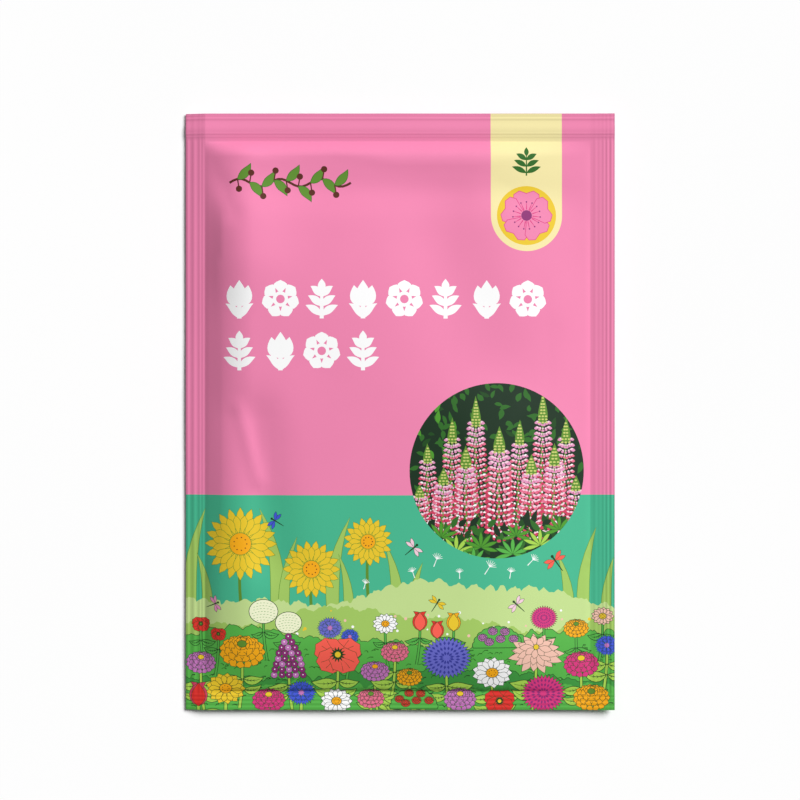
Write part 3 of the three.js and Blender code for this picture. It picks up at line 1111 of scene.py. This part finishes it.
back_plate = back_artwork()
print("the back takes", len(back_plate.shapes), "outlines")

# %% [markdown]
# ## Cutting the film along the print
#
# A constrained triangulation takes all outlines at once and returns triangles that none of them crosses.
# For each triangle we ask which shapes cover it: the last one printed is its ink. Where neighbours have
# different inks runs a print edge. A second triangulation keeps only those edges and adds the lines that
# the shape needs: close together across the ribs, wider apart on the crown.

# %% Print edges
NO_INK = -1
FINE_MERGE = 0.0005  # in the first triangulation, points nearer than this become one
MERGE = 0.02  # and before the second
SMALLEST = 1e-7  # faces of less area are dropped


def counter_clockwise(outline):
    return outline if turns_left(outline) else outline[::-1]


def ink_of(covering, shapes):
    """The last printed of the shapes that cover a place, leaving out those outside their window."""
    if 0 not in covering:
        return NO_INK
    for index in sorted(covering, reverse=True):
        window = shapes[index][2]
        if window is None or window in covering:
            return shapes[index][0]
    return NO_INK


def to_edge(value, edge):
    """Moves a point that is all but on the sheet's edge onto it."""
    return math.copysign(edge, value) if abs(abs(value) - edge) < MERGE else value


def print_edges(plate):
    """The plate's triangles with their inks, and the edges between different inks."""
    points, faces = [], []
    for _, outline, _ in plate.shapes:
        faces.append(list(range(len(points), len(points) + len(outline))))
        points += [Vector(p) for p in counter_clockwise(outline)]
    spots, _, cells, _, _, covers = delaunay_2d_cdt(points, [], faces, 0, FINE_MERGE, True)
    spots = [Vector((to_edge(p.x, EDGE_X), to_edge(p.y, EDGE_Y))) for p in spots]
    inks = [ink_of(set(cover), plate.shapes) for cover in covers]
    sides = {}
    for cell, ink in zip(cells, inks):
        for a, b in zip(cell, cell[1:] + cell[:1]):
            sides.setdefault((min(a, b), max(a, b)), []).append(ink)
    for pair in sides.values():
        if len(pair) == 1:
            pair.append(NO_INK)
    edges = [edge for edge, pair in sides.items() if len(set(pair)) > 1]
    return spots, cells, inks, edges


print("a point just inside the right edge moves to", to_edge(EDGE_X - MERGE / 2, EDGE_X), "mm")

# %% Lines that the shape needs
RIB_STEP = 0.2
SLOPE_STEP = 1.1
SLOPE_LINES = 14.0  # width of the band of such lines inside each seal
CROWN_STEP = 2.5
CROWN_GAP = 1.5 * SLOPE_STEP  # lines further apart than this are on the crown
CREASE_LINES = np.array([0.12, 0.25, 0.4, 0.6, 0.8, 1.0, 1.4, 1.9, 2.5])  # how far in from the seal
INNER_STEP = 2  # beside the crown, the inner face takes one line in so many
LONGEST_EDGE = 0.9


def lines_near(seal):
    """Across one seal and the slope next to it, where the film turns most sharply at first."""
    across = np.linspace(0, seal, round(seal / RIB_STEP) + 1)
    crease = seal + CREASE_LINES
    beyond = np.arange(crease[-1] + SLOPE_STEP, seal + SLOPE_LINES, SLOPE_STEP)
    return np.concatenate([across, crease, beyond])


def lines_between(half, low_seal, high_seal):
    low = lines_near(low_seal) - half
    high = half - lines_near(high_seal)[::-1]
    steps = math.ceil((high[0] - low[-1]) / CROWN_STEP)
    return np.concatenate([low, np.linspace(low[-1], high[0], steps + 1)[1:-1], high])


COLUMNS = lines_between(EDGE_X, SEALS["left"], SEALS["right"])
ROWS = lines_between(EDGE_Y, SEALS["bottom"], SEALS["top"])
print("columns:", len(COLUMNS), "rows:", len(ROWS))


# %% Points and edges of the grid
def shape_lines(points, edges, step=1):
    """Adds the grid's points, and edges along every rib so that no face spans one."""
    columns, rows = thinned(COLUMNS, step), thinned(ROWS, step)
    grid = len(points) + np.arange(len(rows) * len(columns)).reshape(len(rows), len(columns))
    points.extend(Vector((x, y)) for y in rows for x in columns)
    upright, level = abs(columns) > RIGHT - MERGE, (rows < BOTTOM + MERGE) | (rows > TOP - MERGE)
    for line in [*grid.T[upright].tolist(), *grid[level].tolist()]:
        edges.extend(zip(line, line[1:]))


def thinned(lines, step):
    """Every so many of the lines, all of those on the crown, and always the last."""
    if step == 1:
        return lines
    crown = lines[1:][np.diff(lines) > CROWN_GAP]
    return np.unique(np.concatenate([lines[:-1:step], crown, lines[-1:]]))


print("columns of the inner face:", len(thinned(COLUMNS, INNER_STEP)))


# %% Merging and triangulating
def merged(points, lines):
    """Makes one of points that are all but in one place. Points on the sheet's edge stay where they are."""
    tree = KDTree(len(points))
    for i, p in enumerate(points):
        tree.insert((p.x, p.y, 0), i)
    tree.balance()
    kept = {}
    inside = [abs(p.x) < EDGE_X and abs(p.y) < EDGE_Y for p in points]
    for i in sorted(range(len(points)), key=inside.__getitem__):
        if i not in kept:
            kept[i] = i
            for _, j, _ in tree.find_range((points[i].x, points[i].y, 0), MERGE):
                kept.setdefault(j, i)
    used = sorted(set(kept.values()))
    place = {i: n for n, i in enumerate(used)}
    joined = {tuple(sorted((place[kept[a]], place[kept[b]]))) for a, b in lines if kept[a] != kept[b]}
    return [points[i] for i in used], sorted(joined)


def triangulated(points, edges):
    """Points and faces, without the slivers."""
    spots, _, cells, *_ = delaunay_2d_cdt(points, edges, [], 0, FINE_MERGE, False)
    spots = np.array([tuple(p) for p in spots])
    cells = np.array([cell for cell in cells if len(cell) == 3])
    a, b, c = (spots[cells[:, i]] for i in range(3))
    area = (b[:, 0] - a[:, 0]) * (c[:, 1] - a[:, 1]) - (b[:, 1] - a[:, 1]) * (c[:, 0] - a[:, 0])
    cells = np.where((area < 0)[:, None], cells[:, ::-1], cells)
    return spots, cells[np.abs(area) > SMALLEST]


square = [Vector(corner) for corner in rectangle(0, 0, 1, 1)]
print("a square is cut into", len(triangulated(square, [])[1]), "faces")


# %% The cut sheets
def short_lines(points, lines):
    """Long print edges get points on the way, so that they follow the film's curve."""
    short = []
    for a, b in lines:
        start, end = points[a], points[b]
        pieces = math.ceil((end - start).length / LONGEST_EDGE)
        chain = [a, *range(len(points), len(points) + pieces - 1), b]
        points += [start.lerp(end, i / pieces) for i in range(1, pieces)]
        short += list(zip(chain, chain[1:]))
    return short


def cut_sheet(plate):
    """The sheet's points, faces and the ink of each face."""
    spots, cells, inks, edges = print_edges(plate)
    used = sorted({p for edge in edges for p in edge})
    order = {p: i for i, p in enumerate(used)}
    points = [spots[p] for p in used]
    lines = short_lines(points, [(order[a], order[b]) for a, b in edges])
    shape_lines(points, lines)
    flat, faces = triangulated(*merged(points, lines))
    printed = BVHTree.FromPolygons([(p.x, p.y, 0) for p in spots], cells)
    centres = flat[faces].mean(axis=1)
    found = [printed.find_nearest((x, y, 0))[2] for x, y in centres]
    face_inks = np.array([inks[i] for i in found])
    covered = face_inks != NO_INK
    return flat, faces[covered], face_inks[covered]


front_sheet = cut_sheet(front_plate)
back_sheet = cut_sheet(back_plate)
for name, (flat, faces, inks) in (("front", front_sheet), ("back", back_sheet)):
    print(name, "sheet:", len(flat), "points,", len(faces), "faces,", len(set(inks.tolist())), "inks")


# %% [markdown]
# ## From a flat sheet to a piece of film
#
# The outer face takes the cut sheet, lifted to its height. The inner face is plain, so it only needs the
# grid and the same rim points. A rim of narrow faces joins them, which makes the film a closed solid of its
# real thickness. Normals come from the height field itself, not from the faces, so ribs stay smooth however
# the print cuts them.

# %% Inner face and rim
TILT_STEP = 0.01  # distance over which a slope is measured


def rim(flat, faces):
    """The points along the sheet's edge, counter-clockwise from its first corner."""
    sides = {(int(a), int(b)) for face in faces for a, b in zip(face, np.roll(face, -1))}
    after = {a: b for a, b in sides if (b, a) not in sides}
    start = min(after, key=lambda i: flat[i].sum())
    ring = [start]
    while after[ring[-1]] != start:
        ring.append(after[ring[-1]])
    return np.array(ring)


def plain_sheet(ring_places):
    """A coarser grid without print, with the outer face's rim points."""
    points = [Vector(p) for p in ring_places]
    lines = [(i, (i + 1) % len(points)) for i in range(len(points))]
    shape_lines(points, lines, INNER_STEP)
    return triangulated(*merged(points, lines))


def tilt(height, x, y):
    """Unit normals of a height field."""
    across = (height(x + TILT_STEP, y) - height(x - TILT_STEP, y)) / (2 * TILT_STEP)
    along = (height(x, y + TILT_STEP) - height(x, y - TILT_STEP)) / (2 * TILT_STEP)
    normals = np.stack([-across, -along, np.ones_like(x)], axis=1)
    return normals / np.linalg.norm(normals, axis=1)[:, None]


print("rim points of the front:", len(rim(*front_sheet[:2])))

# %% [markdown]
# Each piece also gets a colour attribute with its print, a part number that tells printed face, sealing
# face and cut edge apart, and a map that lays it out flat for painting: the printed face large, the rest
# small.

# %% Mesh, normals and print of a film piece
PRINTED, SEALING, CUT = 0, 1, 2


def film_mesh(name, places, corners, parts):
    mesh = bpy.data.meshes.new(name)
    mesh.vertices.add(len(places))
    mesh.vertices.foreach_set("co", (places * MM).ravel())
    mesh.loops.add(corners.size)
    mesh.loops.foreach_set("vertex_index", corners.ravel())
    mesh.polygons.add(len(corners))
    mesh.polygons.foreach_set("loop_start", np.arange(0, corners.size, 3))
    mesh.polygons.foreach_set("material_index", parts)
    mesh.update(calc_edges=True)
    mesh.validate()
    return mesh


def set_normals(mesh, normals, spots, parts):
    """The height field's own normals on both faces. The cut edge is flat from face to face."""
    edge = spots[parts == CUT]
    flats = np.cross(edge[:, 1] - edge[:, 0], edge[:, 2] - edge[:, 0])
    flats /= np.maximum(np.linalg.norm(flats, axis=1), TINY)[:, None]
    normals[parts == CUT] = flats[:, None, :]
    mesh.polygons.foreach_set("use_smooth", np.ones(len(parts), bool))
    mesh.normals_split_custom_set(normals.reshape(-1, 3).tolist())


def set_print(mesh, inks, parts):
    colours = np.ones((len(parts), 3, 4), np.float32)
    colours[parts == PRINTED] = INK_COLOURS[inks][:, None, :]
    layer = mesh.color_attributes.new("print", "FLOAT_COLOR", "CORNER")
    layer.data.foreach_set("color", colours.ravel())


print("parts of a film piece:", PRINTED, SEALING, CUT)

# %% Map of a film piece
MAP_MARGIN = 0.006
MAP_SCALE = 0.985 / HEIGHT
INNER_MAP = (0.73, 0.02, 0.26 / WIDTH)  # left, bottom and scale of the inner face's place on the map
RIM_MAP = (0.73, 0.42, 0.26, 0.1)  # left, bottom, width and height of the rim's
RIM_ROWS = 8
RIM_FILL = (0.98, 0.8)  # share of its row's width and height that the rim takes


def rim_map(count):
    """Lays the rim out as one long strip, folded into rows."""
    left, bottom, width, height = RIM_MAP
    along = np.arange(count) / count * RIM_ROWS
    row, start = np.floor(along), along % 1
    x0 = left + start * width * RIM_FILL[0]
    x1 = x0 + width * RIM_FILL[0] / count * RIM_ROWS
    y0 = bottom + row * height / RIM_ROWS
    y1 = y0 + height / RIM_ROWS * RIM_FILL[1]
    places = (x0, y1), (x0, y0), (x1, y0), (x1, y1)
    high, low, next_low, next_high = (np.column_stack(place) for place in places)
    return np.concatenate([np.stack([high, low, next_low], 1), np.stack([high, next_low, next_high], 1)])


def set_map(mesh, spots, parts, rim_count):
    spots = spots[:, :, :2] + (EDGE_X, EDGE_Y)
    uv = MAP_MARGIN + spots * MAP_SCALE
    inner = parts == SEALING
    uv[inner] = INNER_MAP[:2] + spots[inner] * INNER_MAP[2]
    layer = mesh.uv_layers.new(name="OFBake")
    uv[parts == CUT] = rim_map(rim_count)
    layer.uv.foreach_set("vector", uv.astype(np.float32).ravel())


print("the rim's strip for four points:", rim_map(4).shape, "places")


# %% Film pieces
def film_piece(name, sheet, outer_height, up):
    """A closed sheet of film. Up is 1 where its printed face looks up, and -1 where it looks down."""
    flat, faces, inks = sheet
    ring = rim(flat, faces)
    inner_flat, inner_faces = plain_sheet(flat[ring])
    inner_ring = len(flat) + rim(inner_flat, inner_faces)

    outer_z = outer_height(*flat.T)
    inner_z = outer_height(*inner_flat.T) - up * FILM
    places = np.concatenate([np.column_stack([flat, outer_z]), np.column_stack([inner_flat, inner_z])])
    after, under, under_after = np.roll(ring, -1), inner_ring, np.roll(inner_ring, -1)
    first, second = np.column_stack([ring, under, under_after]), np.column_stack([ring, under_after, after])
    sheets = [faces, (len(flat) + inner_faces)[:, ::-1], np.concatenate([first, second])]
    if up < 0:
        sheets = [part[:, ::-1] for part in sheets]
    corners = np.concatenate(sheets)
    parts = np.repeat([PRINTED, SEALING, CUT], [len(part) for part in sheets])
    mesh = film_mesh(name, places, corners, parts)

    normals = np.concatenate([up * tilt(outer_height, *flat.T), -up * tilt(outer_height, *inner_flat.T)])
    set_normals(mesh, normals[corners], places[corners], parts)
    set_print(mesh, inks, parts)
    set_map(mesh, places[corners], parts, len(ring))
    return placed(name, mesh)


front = film_piece("front_film", front_sheet, front_top, 1)
back = film_piece("back_film", back_sheet, back_bottom, -1)
for piece in (front, back):
    print(piece.name, "faces:", len(piece.data.polygons))


# %% [markdown]
# ## Finishes
#
# Matte film is never quite one colour. The ink lies a little unevenly, the surface has a fine grain, and
# the sheen changes where the film was pressed or handled. The printed face, the sealing face and the cut
# edge share this, so it is a node group, and each material sets its own amounts.


# %% Node helpers
def node(tree, kind, settings=None, values=None):
    made = tree.nodes.new(kind)
    for name, value in (settings or {}).items():
        setattr(made, name, value)
    for name, value in (values or {}).items():
        if isinstance(value, bpy.types.NodeSocket):
            tree.links.new(value, made.inputs[name])
        else:
            made.inputs[name].default_value = value
    return made


def maths(tree, operation, *values, clamp=False):
    made = node(tree, "ShaderNodeMath", {"operation": operation, "use_clamp": clamp}, dict(enumerate(values)))
    return made.outputs[0]


def noise_at(tree, place, scale, detail=2.0, roughness=0.5):
    values = {"Vector": place, "Scale": scale, "Detail": detail, "Roughness": roughness}
    return node(tree, "ShaderNodeTexNoise", values=values).outputs["Fac"]


def around_one(tree, factor, amount):
    """Turns noise around 0.5 into a multiplier around 1."""
    spread = maths(tree, "SUBTRACT", factor, 0.5)
    return maths(tree, "MULTIPLY_ADD", spread, amount, 1.0)


def scaled(tree, colour, factor):
    made = node(tree, "ShaderNodeVectorMath", {"operation": "SCALE"}, {"Vector": colour, "Scale": factor})
    return made.outputs["Vector"]


def blended(tree, factor, first, second):
    values = {"Factor": factor, 6: first, 7: second}  # a mix node's colours are its seventh and eighth inputs
    return node(tree, "ShaderNodeMix", {"data_type": "RGBA"}, values).outputs[2]


def new_group(name, inputs, outputs):
    """A shader node group. Inputs and outputs map a socket's name to its kind."""
    group = bpy.data.node_groups.new(name, "ShaderNodeTree")
    for direction, sockets in (("INPUT", inputs), ("OUTPUT", outputs)):
        for socket, kind in sockets.items():
            group.interface.new_socket(name=socket, in_out=direction, socket_type="NodeSocket" + kind)
    return group, group.nodes.new("NodeGroupInput"), group.nodes.new("NodeGroupOutput")


# %% Group: film surface
BLOTCHES, HANDLING, GRAIN = 75.0, 210.0, 2600.0  # scale of each noise, in features to the metre
HANDLING_SPREAD, GRAIN_SPREAD = 0.16, 0.1  # how much each changes the roughness


def film_surface():
    inputs = {"Ink": "Color", "Mottle": "Float", "Grain": "Float", "Matte": "Float"}
    outputs = {"Color": "Color", "Roughness": "Float", "Height": "Float"}
    group, given, result = new_group("Film surface", inputs, outputs)
    place = node(group, "ShaderNodeTexCoord").outputs["Object"]
    blotches = noise_at(group, place, BLOTCHES, 3.0)
    grain = noise_at(group, place, GRAIN, 1.0)
    handling = noise_at(group, place, HANDLING, 4.0, 0.65)

    tone = around_one(group, blotches, given.outputs["Mottle"])
    speckle = around_one(group, grain, given.outputs["Grain"])
    colour = scaled(group, scaled(group, given.outputs["Ink"], tone), speckle)
    group.links.new(colour, result.inputs["Color"])

    worn = maths(group, "MULTIPLY", maths(group, "SUBTRACT", handling, 0.5), HANDLING_SPREAD)
    fine = maths(group, "MULTIPLY", maths(group, "SUBTRACT", grain, 0.5), GRAIN_SPREAD)
    matte = maths(group, "ADD", maths(group, "ADD", worn, fine), given.outputs["Matte"])
    group.links.new(matte, result.inputs["Roughness"])
    group.links.new(grain, result.inputs["Height"])
    return group


FILM_SURFACE = film_surface()
print("group:", FILM_SURFACE.name)

# %% [markdown]
# The seals look a little darker than the pocket, which is painted shade, and a little flatter, from the jaws.
# A thin dark line of painted shade runs all round the cut edge. Both depend only on the distance from the
# packet's edges, so a second group turns an object's coordinates into these two masks.

# %% Group: seal mask, and painted shade along the cut edge
SEAL_FADE = 0.35  # mm over which the seal's painted shade and flatter finish set in
EDGE_SHADE_WIDTH = 0.3  # mm over which the painted shade along the cut edge fades


def seal_shade_masks():
    group, _, result = new_group("Seal shade masks", {}, {"Seal": "Float", "Edge shade": "Float"})
    place = node(group, "ShaderNodeTexCoord").outputs["Object"]
    axes = node(group, "ShaderNodeSeparateXYZ", values={"Vector": place}).outputs
    wide = maths(group, "ABSOLUTE", axes["X"])
    high = maths(group, "ABSOLUTE", axes["Y"])

    # The seal mask, for the seals' painted shade and their flatter finish.
    over_side = maths(group, "SUBTRACT", wide, RIGHT * MM)
    over_top = maths(group, "SUBTRACT", axes["Y"], TOP * MM)
    over_bottom = maths(group, "SUBTRACT", BOTTOM * MM, axes["Y"])
    over = maths(group, "MAXIMUM", over_side, maths(group, "MAXIMUM", over_top, over_bottom))
    seal = maths(group, "MULTIPLY", over, 1 / (SEAL_FADE * MM), clamp=True)
    group.links.new(seal, result.inputs["Seal"])

    # The edge mask: painted shade in a thin dark line along the cut edge.
    inset = maths(group, "SUBTRACT", EDGE_X * MM, wide)
    inset = maths(group, "MINIMUM", inset, maths(group, "SUBTRACT", EDGE_Y * MM, high))
    inside = maths(group, "MULTIPLY", inset, 1 / (EDGE_SHADE_WIDTH * MM), clamp=True)
    cut = maths(group, "SUBTRACT", 1.0, inside)
    group.links.new(cut, result.inputs["Edge shade"])
    return group


SEAL_SHADE_MASKS = seal_shade_masks()
print("group:", SEAL_SHADE_MASKS.name)


# %% Material helpers
def new_material(name):
    material = bpy.data.materials.new(name)
    material.use_nodes = True
    tree = material.node_tree
    tree.nodes.clear()
    shader = tree.nodes.new("ShaderNodeBsdfPrincipled")
    output = tree.nodes.new("ShaderNodeOutputMaterial")
    tree.links.new(shader.outputs["BSDF"], output.inputs["Surface"])
    return material, tree, shader


def use_group(tree, group, values):
    return node(tree, "ShaderNodeGroup", {"node_tree": group}, values).outputs


def dress(tree, shader, colour, roughness, height, depth):
    """Gives a shader its colour, its roughness and its relief."""
    relief = node(tree, "ShaderNodeBump", values={"Height": height, "Distance": depth, "Strength": 1.0})
    looks = {"Base Color": colour, "Roughness": roughness, "Normal": relief.outputs["Normal"]}
    for socket, value in looks.items():
        tree.links.new(value, shader.inputs[socket])


# %% Film materials
PRINT_MOTTLE, PRINT_GRAIN = 0.05, 0.03
PRINT_SPECULAR = 0.2
INK_TONE = 0.96  # inks print a little darker than they are mixed
SEAL_SHADE, EDGE_SHADE = -0.03, -0.3  # painted shade: how much the seals and a thin line along the cut edge are darkened
SEAL_MATTE = 0.06  # and the seals to the roughness
PLAIN_GRAIN = 0.06
FILM_RELIEF = 0.000004  # metres


def printed_film(name, matte):
    material, tree, shader = new_material(name)
    shader.inputs["Specular IOR Level"].default_value = PRINT_SPECULAR
    inks = node(tree, "ShaderNodeVertexColor", {"layer_name": "print"}).outputs["Color"]
    values = {"Ink": inks, "Mottle": PRINT_MOTTLE, "Grain": PRINT_GRAIN, "Matte": matte}
    surface = use_group(tree, FILM_SURFACE, values)
    shade_masks = use_group(tree, SEAL_SHADE_MASKS, {})
    # Painted shade: the seals are darkened a little, and a thin dark line runs along the cut edge.
    seal_shaded = scaled(tree, surface["Color"], maths(tree, "MULTIPLY_ADD", shade_masks["Seal"], SEAL_SHADE, INK_TONE))
    colour = scaled(tree, seal_shaded, maths(tree, "MULTIPLY_ADD", shade_masks["Edge shade"], EDGE_SHADE, 1.0))
    flatter = maths(tree, "MULTIPLY_ADD", shade_masks["Seal"], SEAL_MATTE, surface["Roughness"])
    dress(tree, shader, colour, flatter, surface["Height"], FILM_RELIEF)
    return material


def plain_film(name, colour, matte, mottle):
    material, tree, shader = new_material(name)
    values = {"Ink": (*colour, 1), "Mottle": mottle, "Grain": PLAIN_GRAIN, "Matte": matte}
    surface = use_group(tree, FILM_SURFACE, values)
    dress(tree, shader, surface["Color"], surface["Roughness"], surface["Height"], FILM_RELIEF)
    return material


sealing_face = plain_film("sealing_face", (0.78, 0.79, 0.8), matte=0.32, mottle=0.08)
cut_edge = plain_film("cut_edge", (0.72, 0.62, 0.66), matte=0.5, mottle=0.1)
for piece, slot, node_name in ((front, "printed_film", "front_web"), (back, "back_film", "back_web")):
    for material in (printed_film(slot, matte=0.56), sealing_face, cut_edge):
        piece.data.materials.append(material)
    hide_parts(node_name)
    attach(piece, "root")
print("materials:", [m.name for m in bpy.data.materials])

# %% [markdown]
# ## Seeds
#
# A lupin seed is a slightly flattened bean with a speckled coat and, at its narrow end, the small oval scar
# where it hung in the pod. Every seed is one mesh, turned as its solid is, so that the pocket is filled as
# the solid model says.

# %% Seed mesh
SEED_LENGTH, SEED_WIDTH, SEED_THICKNESS = 4.6, 3.6, 2.5
SEED_SHRINK = 0.12  # how much narrower its front end is than its middle
SEED_SIDES, SEED_RINGS = 28, 18
SEED_CLEARANCE = 0.08
SEED_REST = FILM + SEED_CLEARANCE + SEED_THICKNESS / 2
SCAR_DEPTH, LIP_HEIGHT, UNEVEN = 0.07, 0.02, 0.012  # shares of the seed's radius


def seed_mesh():
    shape = bmesh.new()
    bmesh.ops.create_uvsphere(shape, u_segments=SEED_SIDES, v_segments=SEED_RINGS, radius=1)
    for point in shape.verts:
        u, v, w = point.co
        front_end = u > 0
        scar = front_end * math.exp(-((v / 0.22) ** 2) - (w / 0.34) ** 2)
        lip = front_end * math.exp(-(((math.hypot(v / 0.75, w) - 0.42) / 0.13) ** 2))
        reach = 1 - SCAR_DEPTH * scar + LIP_HEIGHT * lip + UNEVEN * noise.noise(3 * point.co)
        taper = 1 - SEED_SHRINK * u
        halves = (SEED_LENGTH / 2, SEED_WIDTH / 2 * taper, SEED_THICKNESS / 2)
        point.co = [MM * half * c * min(reach, 1) for half, c in zip(halves, (u, v, w))]
    mesh = bpy.data.meshes.new("seed")
    shape.to_mesh(mesh)
    shape.free()
    mesh.polygons.foreach_set("use_smooth", [True] * len(mesh.polygons))
    return mesh


print("one seed has", len(seed_mesh().polygons), "faces")

# %% Seed coat
COAT, DARK_COAT, FLECKS = (0.36, 0.25, 0.15, 1), (0.09, 0.055, 0.035, 1), (0.55, 0.45, 0.32, 1)
PATCH_SCALE, FLECK_SCALE = 900.0, 3200.0
COAT_RELIEF = 0.00003  # metres


def above(tree, value, level, sharpness):
    """A mask of the places where a value is above a level."""
    return maths(tree, "MULTIPLY", maths(tree, "SUBTRACT", value, level), sharpness, clamp=True)


def seed_coat():
    material, tree, shader = new_material("seed_coat")
    info = node(tree, "ShaderNodeObjectInfo").outputs["Random"]
    shift = node(tree, "ShaderNodeCombineXYZ", values={"X": info, "Y": info, "Z": info}).outputs[0]
    place = node(tree, "ShaderNodeTexCoord").outputs["Object"]
    place = node(tree, "ShaderNodeVectorMath", {"operation": "ADD"}, {0: place, 1: shift}).outputs[0]
    patches = noise_at(tree, place, PATCH_SCALE, 3.0)
    speckle = noise_at(tree, place, FLECK_SCALE)
    coat = blended(tree, above(tree, patches, 0.42, 5.0), COAT, DARK_COAT)
    coat = blended(tree, above(tree, speckle, 0.6, 9.0), coat, FLECKS)
    dress(tree, shader, coat, maths(tree, "MULTIPLY_ADD", patches, 0.25, 0.35), speckle, COAT_RELIEF)
    return material


# %% Placing the seeds
DRAW_START = 11
DRAW_STEP = (1664525, 1013904223, 2**32)  # factor, addend and modulus of each number drawn
SEED_FIELD = (-24.0, 24.0, -46.0, 22.0)  # left, right, bottom and top


def seed_places(count):
    """The solid model's own draw of places and turns."""
    factor, addend, modulus = DRAW_STEP
    low_x, high_x, low_y, high_y = SEED_FIELD
    state = DRAW_START
    places = []
    while len(places) < count:
        drawn = []
        for _ in range(3):
            state = (state * factor + addend) % modulus
            drawn.append(state / modulus)
        x, y = low_x + (high_x - low_x) * drawn[0], low_y + (high_y - low_y) * drawn[1]
        if all(math.hypot(p[0] - x, p[1] - y) > SEED_LENGTH + SEED_CLEARANCE for p in places):
            places.append((x, y, 2 * math.pi * drawn[2]))
    return places


seed_shape = seed_mesh()
seed_shape.materials.append(seed_coat())
apart = []
for name, (x, y, turn) in zip(seed_names, seed_places(len(seed_names))):
    seed = placed(name.replace("seed_", "lupin_seed_"), seed_shape)
    seed.location = (x * MM, y * MM, SEED_REST * MM)
    seed.rotation_euler.z = turn
    low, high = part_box(name)
    apart.append(((low + high) / 2 - seed.location).length / MM)
    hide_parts(name)
    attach(seed, "root")
print("seeds stand at most", round(max(apart), 2), "mm from their solids")

# %% [markdown]
# ## Table
#
# The packet lies on a plain pale board, which isn't part of it. Its finish is faint, so that it doesn't
# compete with the print.

# %% Table
TABLE_HALF = 12.0  # metres, so that its end isn't seen from any side
TABLE_LEVEL = -0.02 * MM
TABLE_INKS = (0.98, 0.98, 0.98, 1), (1.0, 1.0, 1.0, 1)


def table():
    mesh = bpy.data.meshes.new("table")
    corners = rectangle(-TABLE_HALF, -TABLE_HALF, TABLE_HALF, TABLE_HALF)
    mesh.from_pydata([(x, y, TABLE_LEVEL) for x, y in corners], [], [(0, 1, 2, 3)])
    board = placed("table", mesh)
    material, tree, shader = new_material("pale_board")
    place = node(tree, "ShaderNodeTexCoord").outputs["Object"]
    clouded = blended(tree, noise_at(tree, place, 8.0), *TABLE_INKS)
    tree.links.new(clouded, shader.inputs["Base Color"])
    shader.inputs["Roughness"].default_value = 0.9
    shader.inputs["Specular IOR Level"].default_value = 0.1
    mesh.materials.append(material)
    board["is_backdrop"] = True


table()
print("the table is", round(2 * TABLE_HALF), "m wide")

# %% [markdown]
# ## Size and finish
#
# Both boxes, the solid model's and the finished packet's, are printed side by side.

# %% Boxes and finish
visual_box = [list(corner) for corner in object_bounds()]
for label, (low, high) in (("solid", cad_box), ("visual", visual_box)):
    print(label, "box in mm:", [round((b - a) / MM, 2) for a, b in zip(low, high)])
